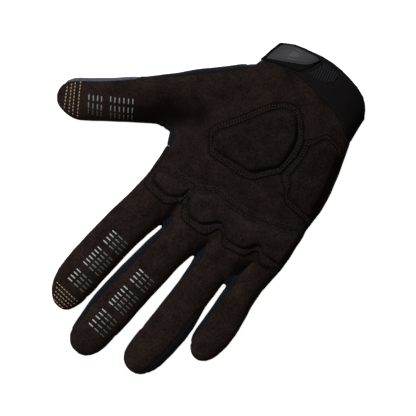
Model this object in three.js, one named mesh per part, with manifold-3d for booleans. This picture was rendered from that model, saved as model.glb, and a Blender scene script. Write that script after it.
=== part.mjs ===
// A full-finger cycling glove for the right hand, lying on its back with the palm up.
//
// Millimetres. +X is the thumb's side, +Y runs from the cuff to the fingertips and +Z is the palm's side.
// The origin is on the surface that the glove lies on, under the middle of the palm.
//
// The glove is one hollow form, made of the hand and five digits. It is cut at its seams into the pieces
// that are sewn together: the palm with its finger fronts, the back, the strips between the fingers, the
// web and the towelling of the thumb, the cuff and a gore beside it. Gel pads lie on the palm, and a strap
// with a moulded pull tab closes the cuff.

import * as THREE from "three";
import { mergeVertices } from "three/addons/utils/BufferGeometryUtils.js";
import Module from "manifold-3d";

const wasm = await Module();
wasm.setup();

// Driving dimensions.
const INDEX_LENGTH = 76.5; // each finger from the crotch line to its tip
const MIDDLE_LENGTH = 89;
const RING_LENGTH = 75.3;
const LITTLE_LENGTH = 43.5;
const THUMB_LENGTH = 75; // from the middle of the thumb's base to its tip
const INDEX_WIDTH = 24.5;
const MIDDLE_WIDTH = 25;
const RING_WIDTH = 23.3;
const LITTLE_WIDTH = 19.4;
const THUMB_WIDTH = 24.5;
const INDEX_HEIGHT = 17.5;
const MIDDLE_HEIGHT = 18;
const RING_HEIGHT = 17;
const LITTLE_HEIGHT = 15;
const THUMB_HEIGHT = 18.5;
const THUMB_LEAN = 47; // degrees between the thumb and the fingers
const CROTCH_GAP = 1.9; // between two fingers where they meet the hand
const CROTCH_REACH = 50; // from the origin to the crotch line
const HAND_LENGTH = 142; // from the cuff's hem to the crotch line
const HAND_HEIGHT = 27; // from the back to the palm
const WRIST_WIDTH = 64;
const WRIST_HEIGHT = 31;
const CURL_START = 40; // from here on the fingers curl up towards the palm
const CURL_RADIUS = 500;
const REST_SAG = 1.5; // how far the round back is pressed flat where it lies
const WALL = 1.5; // cloth and suede
const SEAM_GAP = 0.3; // between two pieces at their seam
const FOURCHETTE_FOOT = 4; // from the floor to the lower seam of a side strip
const SIDE_REACH = 5; // how far a side strip's piece reaches into its finger
const PAD_THICKNESS = 2;
const STRAP_THICKNESS = 1.1;
const TAB_THICKNESS = 2;
const PATCH_THICKNESS = 0.8;
const LAY_GAP = 0.3; // between the palm or cuff and what lies on it
const WRAP_FOOT = 8; // how low the strap and its tab come down the cuff's side

// The knuckles are as wide as the four fingers beside each other.
const KNUCKLE_WIDTH = INDEX_WIDTH + MIDDLE_WIDTH + RING_WIDTH + LITTLE_WIDTH + 3 * CROTCH_GAP;
const LITTLE_SIDE = -0.615 * KNUCKLE_WIDTH;
const HEM_Y = CROTCH_REACH - HAND_LENGTH;
const LITTLE_X = LITTLE_SIDE + LITTLE_WIDTH / 2;
const RING_X = LITTLE_X + (LITTLE_WIDTH + RING_WIDTH) / 2 + CROTCH_GAP;
const MIDDLE_X = RING_X + (RING_WIDTH + MIDDLE_WIDTH) / 2 + CROTCH_GAP;
const INDEX_X = MIDDLE_X + (MIDDLE_WIDTH + INDEX_WIDTH) / 2 + CROTCH_GAP;
const SKY = 3 * WRIST_HEIGHT; // higher than everything

// How finely the form is worked out.
const HAND_SIDES = 24;
const DIGIT_SIDES = 12;
const CAP_STEPS = [0.4, 0.7, 0.88, 0.97]; // of a fingertip's round end
const ROUNDNESS = { hand: 2.6, digit: 2.25 }; // exponent of the sections' superellipse
const CURVE_STEPS = 2; // per point of a drawn outline

// The hand from its hem to the crotches. along is a share of HAND_LENGTH. left and right are shares of the
// wrist's width on its rows and of the knuckles' width above them, and tall a share of the height there.
// The seams between palm and back are shares of the row's own height.
const WRIST = { width: WRIST_WIDTH, height: WRIST_HEIGHT };
const PALM = { width: KNUCKLE_WIDTH, height: HAND_HEIGHT };
const HAND_ROWS = [
  { along: -0.04, of: WRIST, left: -0.484, right: 0.469, tall: 1, seamLeft: 0.3, seamRight: 0.5 },
  { along: 0.056, of: WRIST, left: -0.489, right: 0.478, tall: 1, seamLeft: 0.3, seamRight: 0.5 },
  { along: 0.113, of: WRIST, left: -0.516, right: 0.488, tall: 1, seamLeft: 0.3, seamRight: 0.5 },
  { along: 0.169, of: WRIST, left: -0.547, right: 0.516, tall: 1, seamLeft: 0.3, seamRight: 0.5 },
  { along: 0.225, of: PALM, left: -0.388, right: 0.373, tall: 1.12, seamLeft: 0.3, seamRight: 0.5 },
  { along: 0.296, of: PALM, left: -0.436, right: 0.388, tall: 1.1, seamLeft: 0.3, seamRight: 0.5 },
  { along: 0.366, of: PALM, left: -0.48, right: 0.398, tall: 1.08, seamLeft: 0.3, seamRight: 0.4 },
  { along: 0.437, of: PALM, left: -0.51, right: 0.408, tall: 1.05, seamLeft: 0.3, seamRight: 0.3 },
  { along: 0.507, of: PALM, left: -0.535, right: 0.429, tall: 1.02, seamLeft: 0.3, seamRight: 0.3 },
  { along: 0.577, of: PALM, left: -0.541, right: 0.459, tall: 1, seamLeft: 0.3, seamRight: 0.3 },
  { along: 0.648, of: PALM, left: -0.556, right: 0.48, tall: 0.98, seamLeft: 0.3, seamRight: 0.3 },
  { along: 0.676, of: PALM, left: -0.566, right: 0.474, tall: 0.97, seamLeft: 0.3, seamRight: 0.3 },
  { along: 0.732, of: PALM, left: -0.587, right: 0.424, tall: 0.95, seamLeft: 0.3, seamRight: 0.3 },
  { along: 0.789, of: PALM, left: -0.597, right: 0.41, tall: 0.93, seamLeft: 0.3, seamRight: 0.3 },
  { along: 0.859, of: PALM, left: -0.599, right: 0.395, tall: 0.89, seamLeft: 0.3, seamRight: 0.3 },
  { along: 0.915, of: PALM, left: -0.598, right: 0.388, tall: 0.84, seamLeft: 0.32, seamRight: 0.32 },
  { along: 0.965, of: PALM, left: -0.59, right: 0.38, tall: 0.77, seamLeft: 0.36, seamRight: 0.36 },
  { along: 1, of: PALM, left: -0.57, right: 0.36, tall: 0.64, seamLeft: 0.44, seamRight: 0.44 },
];

// Each digit from its root inside the hand. along is a share of its length, shift and wide are shares of
// its width, tall and rise shares of its height. The seams are shares of the row's own height, and a high
// one shows the side strip from above. The round tip follows the last row.
const DIGITS = {
  index: {
    x: INDEX_X, y: CROTCH_REACH, lean: 0, length: INDEX_LENGTH, width: INDEX_WIDTH, height: INDEX_HEIGHT,
    tip: { shift: 0, cap: 0.2 },
    rows: [
      { along: -0.3, shift: -0.01, wide: 0.98, tall: 1.2, rise: 0, seamLeft: 0.4, seamRight: 0.4 },
      { along: -0.13, shift: 0, wide: 1, tall: 1.15, rise: 0, seamLeft: 0.43, seamRight: 0.43 },
      { along: 0, shift: 0.01, wide: 1.02, tall: 1.06, rise: 0, seamLeft: 0.47, seamRight: 0.47 },
      { along: 0.13, shift: 0.073, wide: 0.99, tall: 1, rise: 0, seamLeft: 0.5, seamRight: 0.5 },
      { along: 0.39, shift: 0.098, wide: 1, tall: 0.99, rise: 0, seamLeft: 0.5, seamRight: 0.5 },
      { along: 0.654, shift: 0.092, wide: 1, tall: 0.97, rise: 0, seamLeft: 0.5, seamRight: 0.5 },
      { along: 0.8, shift: 0.071, wide: 0.95, tall: 0.93, rise: 0, seamLeft: 0.5, seamRight: 0.5 },
    ],
  },
  middle: {
    x: MIDDLE_X, y: CROTCH_REACH, lean: 0, length: MIDDLE_LENGTH, width: MIDDLE_WIDTH, height: MIDDLE_HEIGHT,
    tip: { shift: -0.01, cap: 0.146 },
    rows: [
      { along: -0.26, shift: 0.01, wide: 0.96, tall: 1.22, rise: 0, seamLeft: 0.4, seamRight: 0.6 },
      { along: -0.11, shift: 0, wide: 0.98, tall: 1.15, rise: 0, seamLeft: 0.43, seamRight: 0.72 },
      { along: 0, shift: -0.01, wide: 0.99, tall: 1.05, rise: 0, seamLeft: 0.47, seamRight: 0.83 },
      { along: 0.11, shift: 0.038, wide: 0.95, tall: 1, rise: 0, seamLeft: 0.5, seamRight: 0.87 },
      { along: 0.34, shift: 0.056, wide: 0.97, tall: 0.99, rise: 0, seamLeft: 0.5, seamRight: 0.86 },
      { along: 0.53, shift: 0.06, wide: 1.01, tall: 0.98, rise: 0, seamLeft: 0.5, seamRight: 0.84 },
      { along: 0.7, shift: 0.032, wide: 0.985, tall: 0.96, rise: 0, seamLeft: 0.5, seamRight: 0.78 },
      { along: 0.854, shift: -0.012, wide: 0.9, tall: 0.9, rise: 0, seamLeft: 0.5, seamRight: 0.62 },
    ],
  },
  ring: {
    x: RING_X, y: CROTCH_REACH, lean: 0, length: RING_LENGTH, width: RING_WIDTH, height: RING_HEIGHT,
    tip: { shift: -0.2, cap: 0.15 },
    rows: [
      { along: -0.3, shift: -0.03, wide: 0.97, tall: 1.24, rise: 0, seamLeft: 0.4, seamRight: 0.5 },
      { along: 0, shift: 0, wide: 0.99, tall: 1.06, rise: 0, seamLeft: 0.47, seamRight: 0.82 },
      { along: 0.13, shift: -0.067, wide: 0.935, tall: 1, rise: 0, seamLeft: 0.6, seamRight: 0.76 },
      { along: 0.29, shift: -0.13, wide: 0.94, tall: 1, rise: 0, seamLeft: 0.78, seamRight: 0.66 },
      { along: 0.425, shift: -0.2, wide: 0.995, tall: 0.99, rise: 0, seamLeft: 0.84, seamRight: 0.56 },
      { along: 0.56, shift: -0.238, wide: 1.01, tall: 0.98, rise: 0, seamLeft: 0.85, seamRight: 0.5 },
      { along: 0.69, shift: -0.26, wide: 0.99, tall: 0.97, rise: 0, seamLeft: 0.84, seamRight: 0.5 },
      { along: 0.85, shift: -0.255, wide: 0.93, tall: 0.92, rise: 0, seamLeft: 0.76, seamRight: 0.5 },
    ],
  },
  little: {
    x: LITTLE_X, y: CROTCH_REACH, lean: 0, length: LITTLE_LENGTH, width: LITTLE_WIDTH, height: LITTLE_HEIGHT,
    tip: { shift: -0.3, cap: 0.23 },
    rows: [
      { along: -0.6, shift: 0.075, wide: 0.96, tall: 1.4, rise: 0, seamLeft: 0.4, seamRight: 0.5 },
      { along: -0.3, shift: 0.05, wide: 0.96, tall: 1.3, rise: 0, seamLeft: 0.42, seamRight: 0.6 },
      { along: -0.05, shift: 0.02, wide: 1, tall: 1.12, rise: 0, seamLeft: 0.46, seamRight: 0.76 },
      { along: 0.23, shift: -0.1, wide: 0.975, tall: 1.02, rise: 0, seamLeft: 0.5, seamRight: 0.84 },
      { along: 0.41, shift: -0.186, wide: 0.995, tall: 1, rise: 0, seamLeft: 0.5, seamRight: 0.78 },
      { along: 0.575, shift: -0.242, wide: 1.005, tall: 0.98, rise: 0, seamLeft: 0.5, seamRight: 0.72 },
      { along: 0.77, shift: -0.278, wide: 0.97, tall: 0.94, rise: 0, seamLeft: 0.5, seamRight: 0.6 },
    ],
  },
  thumb: {
    x: 0.554 * KNUCKLE_WIDTH, y: HEM_Y + 0.547 * HAND_LENGTH, lean: THUMB_LEAN, length: THUMB_LENGTH,
    width: THUMB_WIDTH, height: THUMB_HEIGHT,
    tip: { shift: 0, cap: 0.18 },
    rows: [
      { along: -0.613, shift: 0.04, wide: 1.5, tall: 1.3, rise: 0, seamLeft: 0.3, seamRight: 0.7 },
      { along: -0.467, shift: -0.16, wide: 1.92, tall: 1.36, rise: 0, seamLeft: 0.3, seamRight: 0.74 },
      { along: -0.313, shift: -0.24, wide: 2, tall: 1.38, rise: 0, seamLeft: 0.3, seamRight: 0.76 },
      { along: -0.11, shift: -0.21, wide: 1.81, tall: 1.34, rise: 0.02, seamLeft: 0.32, seamRight: 0.78 },
      { along: 0.013, shift: -0.137, wide: 1.55, tall: 1.25, rise: 0.04, seamLeft: 0.36, seamRight: 0.8 },
      { along: 0.093, shift: -0.078, wide: 1.36, tall: 1.18, rise: 0.06, seamLeft: 0.4, seamRight: 0.8 },
      { along: 0.195, shift: -0.006, wide: 1.19, tall: 1.1, rise: 0.09, seamLeft: 0.45, seamRight: 0.8 },
      { along: 0.36, shift: 0, wide: 1.09, tall: 1.02, rise: 0.15, seamLeft: 0.5, seamRight: 0.78 },
      { along: 0.533, shift: -0.014, wide: 1.015, tall: 0.98, rise: 0.23, seamLeft: 0.5, seamRight: 0.74 },
      { along: 0.715, shift: -0.026, wide: 0.965, tall: 0.95, rise: 0.32, seamLeft: 0.5, seamRight: 0.7 },
      { along: 0.82, shift: -0.02, wide: 0.95, tall: 0.92, rise: 0.37, seamLeft: 0.5, seamRight: 0.62 },
    ],
  },
};

// Soft hollows of the palm: place and reach as shares of the knuckles' width and the hand's length.
const HOLLOWS = [
  { across: 0.06, along: 0.67, wide: 0.26, long: 0.1, deep: 0.1 },
  { across: 0.47, along: 0.635, wide: 0.13, long: 0.1, deep: 0.3 },
  { across: -0.18, along: 0.33, wide: 0.08, long: 0.2, deep: 0.06 },
];

// Outlines seen from above. across is a share of the width that the outline follows, along of HAND_LENGTH.
const HEM = [
  [-0.7, 0.1], [-0.5, 0.085], [-0.4375, 0.049], [-0.375, 0.028], [-0.28, 0.012], [-0.06, 0.0035],
  [0.156, 0.014], [0.39, 0.047], [0.484, 0.068], [0.547, 0.09], [0.7, 0.106],
];
const CUFF_SEAM = [
  [-0.7, 0.183], [-0.516, 0.176], [-0.39, 0.158], [-0.156, 0.144], [0.125, 0.141], [0.3125, 0.153],
  [0.484, 0.17], [0.7, 0.183],
];
const GORE = [[0.459, 0.16], [0.515, 0.19], [0.546, 0.225], [0.563, 0.243], [1.1, 0.243], [1.1, 0.16]];
const THUMB_WEB = [
  [0.444, 0.741], [0.405, 0.718], [0.424, 0.685], [0.452, 0.652], [0.515, 0.66], [0.515, 0.74],
];
const THENAR_PAD = [
  [-0.158, 0.458], [-0.092, 0.549], [-0.02, 0.579], [0.09, 0.59], [0.178, 0.6], [0.248, 0.576],
  [0.228, 0.5], [0.133, 0.373], [0.055, 0.29], [-0.03, 0.282], [-0.125, 0.359],
];
const HEEL_PAD = [
  [-0.5, 0.54], [-0.41, 0.547], [-0.345, 0.543], [-0.285, 0.503], [-0.218, 0.474], [-0.203, 0.4],
  [-0.19, 0.345], [-0.203, 0.3], [-0.232, 0.256], [-0.29, 0.242], [-0.365, 0.247], [-0.402, 0.3],
  [-0.452, 0.38], [-0.482, 0.45],
];
const KNUCKLE_PAD = [
  [-0.55, 0.77], [-0.52, 0.783], [-0.46, 0.788], [-0.413, 0.775], [-0.362, 0.818], [-0.3, 0.842],
  [-0.235, 0.848], [-0.158, 0.815], [-0.095, 0.856], [-0.045, 0.88], [0.03, 0.887], [0.09, 0.856],
  [0.104, 0.8], [0.07, 0.763], [0.02, 0.743], [-0.1, 0.734], [-0.22, 0.718], [-0.35, 0.685],
  [-0.47, 0.645], [-0.52, 0.636], [-0.535, 0.69],
];
const INDEX_PAD = [
  [0.15, 0.802], [0.153, 0.838], [0.19, 0.873], [0.235, 0.888], [0.31, 0.888], [0.355, 0.877],
  [0.367, 0.842], [0.35, 0.812], [0.265, 0.798], [0.19, 0.793],
];
const TAB = [
  [0.16, 0.033], [0.19, 0.027], [0.3, 0.033], [0.43, 0.05], [0.5, 0.067], [0.56, 0.078], [0.75, 0.078],
  [0.75, 0.18], [0.56, 0.178], [0.51, 0.168], [0.44, 0.148], [0.37, 0.128], [0.28, 0.102], [0.215, 0.08],
  [0.172, 0.052],
];
const STRAP = [
  [0.125, 0.024], [0.3, 0.026], [0.43, 0.043], [0.52, 0.062], [0.6, 0.075], [0.75, 0.075], [0.75, 0.183],
  [0.56, 0.183], [0.45, 0.165], [0.33, 0.15], [0.24, 0.138], [0.2, 0.112], [0.15, 0.07],
];
const PATCH = [
  [-0.085, 0.022], [0, 0.018], [0.094, 0.021], [0.106, 0.052], [0.127, 0.085], [0.15, 0.105],
  [0.07, 0.102], [-0.03, 0.086], [-0.085, 0.06],
];

// The strips between the fingers, from the little finger's side: the fingers that each joins, where its foot
// and its ends are, and how wide the wedge in the palm is, as shares of HAND_LENGTH, of each finger and of
// CROTCH_GAP.
const FOURCHETTES = [
  {
    name: "fourchette_ring_little",
    left: "little",
    right: "ring",
    foot: 0.88,
    ends: [0.86, 0.92],
    wedge: [1.6, 3.6],
  },
  {
    name: "fourchette_middle_ring",
    left: "ring",
    right: "middle",
    foot: 0.93,
    ends: [0.8, 0.8],
    wedge: [1.6, 2.6],
  },
  {
    name: "fourchette_index_middle",
    left: "middle",
    right: "index",
    foot: 0.93,
    ends: [0.92, 0.8],
    wedge: [1.6, 2.6],
  },
];

// A closed mesh as a solid that can be joined and cut.
function solid(geometry) {
  geometry.deleteAttribute("normal");
  geometry.deleteAttribute("uv");
  const merged = mergeVertices(geometry, 1e-4);
  const mesh = new wasm.Mesh({
    numProp: 3,
    vertProperties: new Float32Array(merged.attributes.position.array),
    triVerts: new Uint32Array(merged.index.array),
  });
  return new wasm.Manifold(mesh);
}

// A solid through rings of points, closed flat at both ends.
function loft(rings) {
  const sides = rings[0].length;
  const positions = rings.flat(2);
  const index = [];
  for (let row = 0; row + 1 < rings.length; row += 1) {
    for (let side = 0; side < sides; side += 1) {
      const next = (side + 1) % sides;
      const [a, b] = [row * sides + side, row * sides + next];
      const [c, d] = [a + sides, b + sides];
      index.push(a, c, b, b, c, d);
    }
  }
  const last = (rings.length - 1) * sides;
  for (let side = 1; side + 1 < sides; side += 1) {
    index.push(0, side, side + 1);
    index.push(last, last + side + 1, last + side);
  }
  const geometry = new THREE.BufferGeometry();
  geometry.setAttribute("position", new THREE.Float32BufferAttribute(positions, 3));
  geometry.setIndex(index);
  return solid(geometry);
}

// An outline seen from above, as a solid between two heights.
function prism(outline, bottom, top) {
  const shape = new THREE.Shape(outline.map(([x, y]) => new THREE.Vector2(x, y)));
  const options = { depth: top - bottom, bevelEnabled: false, curveSegments: 1 };
  const geometry = new THREE.ExtrudeGeometry(shape, options);
  geometry.translate(0, 0, bottom);
  return solid(geometry);
}

// A round curve through the points of a closed outline.
function rounded(outline) {
  const curve = new THREE.CatmullRomCurve3(outline.map(([x, y]) => new THREE.Vector3(x, y, 0)), true);
  return curve.getPoints(outline.length * CURVE_STEPS).slice(0, -1).map((point) => [point.x, point.y]);
}

// The outline moved outwards by a distance, or inwards by a negative one.
function offset(outline, distance) {
  const turn = Math.sign(THREE.ShapeUtils.area(outline.map(([x, y]) => new THREE.Vector2(x, y))));
  return outline.map(([x, y], i) => {
    const [beforeX, beforeY] = outline[(i + outline.length - 1) % outline.length];
    const [afterX, afterY] = outline[(i + 1) % outline.length];
    const before = new THREE.Vector2(x - beforeX, y - beforeY).normalize();
    const after = new THREE.Vector2(afterX - x, afterY - y).normalize();
    const along = before.clone().add(after).normalize();
    const reach = (turn * distance) / Math.max(along.dot(after), 0.5);
    return [x + along.y * reach, y - along.x * reach];
  });
}

// Places of an outline from its shares of the wrist's or the knuckles' width and of the hand's length.
function place(outline, width) {
  return outline.map(([across, along]) => [across * width, HEM_Y + along * HAND_LENGTH]);
}

// A section with round corners, as points [across, up] about its middle.
function section(halfWidth, halfHeight, sides, power) {
  return Array.from({ length: sides }, (unused, side) => {
    const angle = (2 * Math.PI * (side + 0.5)) / sides;
    const cos = Math.cos(angle);
    const sin = Math.sin(angle);
    const across = halfWidth * Math.sign(cos) * Math.abs(cos) ** (2 / power);
    const up = halfHeight * Math.sign(sin) * Math.abs(sin) ** (2 / power);
    return [across, up];
  });
}

// How far the fingers rise towards the palm at a distance from the wrist.
function curl(y) {
  return Math.max(0, y - CURL_START) ** 2 / (2 * CURL_RADIUS);
}

// The surface's place once the glove lies: pressed flat below, hollowed above and curled up.
function settle(x, y, z, lift, grow) {
  let height = Math.max(z, -grow) + lift;
  for (const hollow of HOLLOWS) {
    const across = (x / KNUCKLE_WIDTH - hollow.across) / hollow.wide;
    const along = ((y - HEM_Y) / HAND_LENGTH - hollow.along) / hollow.long;
    height *= 1 - hollow.deep * Math.exp(-(across ** 2) - along ** 2);
  }
  return [x, y, height + curl(y)];
}

// The hand as rings, made bigger all round by grow.
function handRings(grow) {
  return HAND_ROWS.map((row, i) => {
    const left = row.left * row.of.width;
    const right = row.right * row.of.width;
    const top = row.tall * row.of.height;
    const y = HEM_Y + row.along * HAND_LENGTH + (i === HAND_ROWS.length - 1 ? grow : 0);
    const middle = (left + right) / 2;
    const halfWidth = (right - left) / 2 + grow;
    const halfHeight = (top + REST_SAG) / 2 + grow;
    return section(halfWidth, halfHeight, HAND_SIDES, ROUNDNESS.hand).map(([across, up]) =>
      settle(middle + across, y, (top - REST_SAG) / 2 + up, 0, grow),
    );
  });
}

// A place beside a digit's middle line, seen from above.
function beside(digit, along, across) {
  const lean = THREE.MathUtils.degToRad(digit.lean);
  return [
    digit.x + along * Math.sin(lean) + across * Math.cos(lean),
    digit.y + along * Math.cos(lean) - across * Math.sin(lean),
  ];
}

// A digit's rows in millimetres, with the rows of its round tip.
function digitRows(digit, grow) {
  const rows = digit.rows.map((row) => ({
    along: row.along * digit.length,
    across: row.shift * digit.width,
    halfWidth: (row.wide * digit.width) / 2 + grow,
    bottom: row.rise * digit.height,
    top: (row.rise + row.tall) * digit.height,
    size: 1,
  }));
  const last = rows.at(-1);
  const caps = CAP_STEPS.map((step) => {
    const size = (1 - step ** ROUNDNESS.digit) ** (1 / ROUNDNESS.digit);
    const across = last.across + step * (digit.tip.shift * digit.width - last.across);
    const along = last.along + step * (digit.tip.cap * digit.length + grow);
    return { ...last, along, across, halfWidth: last.halfWidth * size, size };
  });
  return [...rows, ...caps];
}

// A digit as rings, made bigger all round by grow.
function digitRings(digit, grow) {
  return digitRows(digit, grow).map((row) => {
    const halfHeight = ((row.top - row.bottom + REST_SAG) / 2 + grow) * row.size;
    const middle = (row.top - row.bottom - REST_SAG) / 2;
    return section(row.halfWidth, halfHeight, DIGIT_SIDES, ROUNDNESS.digit).map(([across, up]) => {
      const [x, y] = beside(digit, row.along, row.across + across);
      return settle(x, y, middle + up, row.bottom, grow);
    });
  });
}

// The whole form, made bigger all round by grow.
function form(grow) {
  const hand = loft(handRings(grow));
  return Object.values(DIGITS).reduce((sum, digit) => sum.add(loft(digitRings(digit, grow))), hand);
}

// Everything above a slanting seam: rows give the plan places and heights of its left and right.
function aboveSeam(rows) {
  return loft(
    rows.map(({ left, right, seamLeft, seamRight }) => [
      [...left, seamLeft],
      [...right, seamRight],
      [...right, SKY],
      [...left, SKY],
    ]),
  );
}

// The palm's side of the seam that runs round the hand and the digits, made bigger by grow.
function palmSide(grow) {
  const hand = HAND_ROWS.map((row, i) => {
    const y = HEM_Y + row.along * HAND_LENGTH + (i === HAND_ROWS.length - 1 ? WALL : 0);
    const top = row.tall * row.of.height;
    const left = [row.left * row.of.width - SIDE_REACH, y];
    const right = [row.right * row.of.width + SIDE_REACH, y];
    return { left, right, seamLeft: row.seamLeft * top - grow, seamRight: row.seamRight * top - grow };
  });
  const digits = Object.values(DIGITS).map((digit) => {
    const seams = digit.rows.map(({ seamLeft, seamRight }) => [seamLeft, seamRight]);
    const rows = digitRows(digit, CROTCH_GAP / 2).map((row, i) => {
      const [seamLeft, seamRight] = seams[i] ?? [0.5, 0.5];
      const tall = row.top - row.bottom;
      const reach = Math.max(row.halfWidth, digit.width / 2);
      const left = beside(digit, row.along, row.across - reach);
      const right = beside(digit, row.along, row.across + reach);
      return {
        left,
        right,
        seamLeft: row.bottom + seamLeft * tall + curl(left[1]) - grow,
        seamRight: row.bottom + seamRight * tall + curl(right[1]) - grow,
      };
    });
    return aboveSeam(rows);
  });
  return digits.reduce((sum, digit) => sum.add(digit), aboveSeam(hand));
}

// A side of a digit seen from above, from the crotch line up to a share of its length.
function edge(digit, side, end) {
  const rows = digitRows(digit, 0).filter((row) => row.along > -1 && row.along < end * digit.length);
  const inner = rows.map(({ along, across, halfWidth }) =>
    beside(digit, along, across + side * (halfWidth - SIDE_REACH)),
  );
  const { across, halfWidth } = rows.at(-1);
  return [...inner, beside(digit, end * digit.length, across + side * (halfWidth + CROTCH_GAP))];
}

// Where a strip between two fingers goes: the facing sides of both, and the wedge in the palm.
function fourchette(strip, grow) {
  const [left, right] = [DIGITS[strip.left], DIGITS[strip.right]];
  const crotchX = (left.x + left.width / 2 + right.x - right.width / 2) / 2;
  const foot = HEM_Y + strip.foot * HAND_LENGTH;
  const [footWidth, mouthWidth] = strip.wedge.map((share) => share * CROTCH_GAP);
  const wedge = [
    [crotchX - footWidth / 2, foot],
    [crotchX + footWidth / 2, foot],
    [crotchX + mouthWidth / 2, CROTCH_REACH],
    [crotchX, CROTCH_REACH + WALL],
    [crotchX - mouthWidth / 2, CROTCH_REACH],
  ];
  const [leftEnd, rightEnd] = strip.ends;
  const sides = [[crotchX, foot], ...edge(right, -1, rightEnd), ...edge(left, 1, leftEnd).reverse()];
  const strips = prism(offset(sides, grow), FOURCHETTE_FOOT - grow, SKY).subtract(palmSide(SEAM_GAP - grow));
  return strips.add(prism(offset(wedge, grow), FOURCHETTE_FOOT - grow, SKY));
}

// The sewn pieces by where each goes, made bigger by grow. A piece leaves out what those before it take.
const hemmed = [...place(HEM, WRIST_WIDTH), [WRIST_WIDTH, 2 * HEM_Y], [-WRIST_WIDTH, 2 * HEM_Y]];
const cuffPlan = [...place(CUFF_SEAM, WRIST_WIDTH), [WRIST_WIDTH, 2 * HEM_Y], [-WRIST_WIDTH, 2 * HEM_Y]];
const wipePlan = [[0.33, -0.08], [0.33, 0.9], [0.9, 0.9], [0.9, 0.2], [0.7, -0.08]].map(([along, across]) =>
  beside(DIGITS.thumb, along * THUMB_LENGTH, across * THUMB_WIDTH),
);
const SEWN = {
  cuff: (grow) => prism(offset(cuffPlan, grow), -SKY, SKY),
  wrist_gore: (grow) => prism(offset(place(GORE, WRIST_WIDTH), grow), FOURCHETTE_FOOT - grow, SKY),
  thumb_web: (grow) => prism(offset(place(THUMB_WEB, KNUCKLE_WIDTH), grow), FOURCHETTE_FOOT - grow, SKY),
  ...Object.fromEntries(FOURCHETTES.map((strip) => [strip.name, (grow) => fourchette(strip, grow)])),
  palm_panel: palmSide,
  thumb_wipe: (grow) => prism(offset(wipePlan, grow), -SKY, SKY),
};

const LOOK = {
  suede: { color: "#2a211f", roughness: 0.95 },
  knit: { color: "#1c2028", roughness: 0.9 },
  strip: { color: "#161b26", roughness: 0.8 },
  terry: { color: "#8d8a9c", roughness: 1 },
  gore: { color: "#6f6c82", roughness: 0.9 },
  neoprene: { color: "#141416", roughness: 0.75 },
  rubber: { color: "#3a3b40", roughness: 0.4 },
  hook: { color: "#1d1e21", roughness: 0.85 },
};
const SEWN_LOOK = {
  cuff: LOOK.neoprene,
  wrist_gore: LOOK.gore,
  thumb_web: LOOK.strip,
  palm_panel: LOOK.suede,
  thumb_wipe: LOOK.terry,
};

const group = new THREE.Group();
group.name = "cycling_glove";

// A named piece of the glove.
function addPiece(name, manifold, look) {
  const { vertProperties, triVerts } = manifold.getMesh();
  const geometry = new THREE.BufferGeometry();
  geometry.setAttribute("position", new THREE.BufferAttribute(vertProperties, 3));
  geometry.setIndex(new THREE.BufferAttribute(triVerts, 1));
  geometry.computeVertexNormals();
  const piece = new THREE.Mesh(geometry, new THREE.MeshStandardMaterial({ ...look, metalness: 0 }));
  piece.name = name;
  group.add(piece);
}

// The hollow form, cut into its sewn pieces.
let rest = form(0).subtract(form(-WALL)).subtract(prism(hemmed, -SKY, SKY));
for (const [name, region] of Object.entries(SEWN)) {
  addPiece(name, rest.intersect(region(0)), SEWN_LOOK[name] ?? LOOK.strip);
  rest = rest.subtract(region(SEAM_GAP));
}
addPiece("back_panel", rest, LOOK.knit);

// A layer that lies on the form, from one distance to another, inside an outline and above a height.
function layer(name, outline, from, thickness, foot, look) {
  const skin = form(from + thickness).subtract(form(from));
  addPiece(name, skin.intersect(prism(outline, foot, SKY)), look);
}

const PADS = {
  thenar_pad: THENAR_PAD,
  heel_pad: HEEL_PAD,
  knuckle_pad: KNUCKLE_PAD,
  index_pad: INDEX_PAD,
};
for (const [name, outline] of Object.entries(PADS)) {
  layer(name, rounded(place(outline, KNUCKLE_WIDTH)), LAY_GAP, PAD_THICKNESS, HAND_HEIGHT / 2, LOOK.suede);
}
layer("closure_strap", place(STRAP, WRIST_WIDTH), LAY_GAP, STRAP_THICKNESS, WRAP_FOOT, LOOK.hook);
const TAB_FROM = 2 * LAY_GAP + STRAP_THICKNESS;
layer("pull_tab", place(TAB, WRIST_WIDTH), TAB_FROM, TAB_THICKNESS, WRAP_FOOT, LOOK.rubber);
layer("loop_patch", place(PATCH, WRIST_WIDTH), LAY_GAP, PATCH_THICKNESS, HAND_HEIGHT / 2, LOOK.hook);

export default group;
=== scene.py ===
import contextlib
import functools
import math

import bpy
import numpy as np
from mathutils import Matrix, Vector
from mathutils.bvhtree import BVHTree


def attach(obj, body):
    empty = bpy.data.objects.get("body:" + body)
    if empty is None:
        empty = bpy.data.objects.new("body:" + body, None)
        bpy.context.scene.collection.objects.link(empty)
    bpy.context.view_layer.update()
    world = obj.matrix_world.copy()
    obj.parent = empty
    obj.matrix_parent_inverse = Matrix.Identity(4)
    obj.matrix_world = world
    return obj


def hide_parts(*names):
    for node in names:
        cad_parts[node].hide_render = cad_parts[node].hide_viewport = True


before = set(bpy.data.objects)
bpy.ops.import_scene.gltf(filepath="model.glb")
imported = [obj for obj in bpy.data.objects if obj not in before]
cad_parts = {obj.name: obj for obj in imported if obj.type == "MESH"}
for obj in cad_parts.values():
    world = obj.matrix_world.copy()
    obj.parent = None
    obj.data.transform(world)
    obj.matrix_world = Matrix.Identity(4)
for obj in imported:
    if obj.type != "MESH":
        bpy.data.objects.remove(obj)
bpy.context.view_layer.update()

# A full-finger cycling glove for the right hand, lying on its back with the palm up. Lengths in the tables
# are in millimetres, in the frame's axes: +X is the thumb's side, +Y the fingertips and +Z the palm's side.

MM = 0.001

# The photograph is taken from straight above: what its middle shows, how wide it is and which way is up.
VIEW_CENTRE = (-1.74, 22.99)
VIEW_WIDTH = 249.6
VIEW_DISTANCE = 1500
VIEW_RIGHT = Vector((-0.731, -0.682, 0)).normalized()
SENSOR = 36

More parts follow.
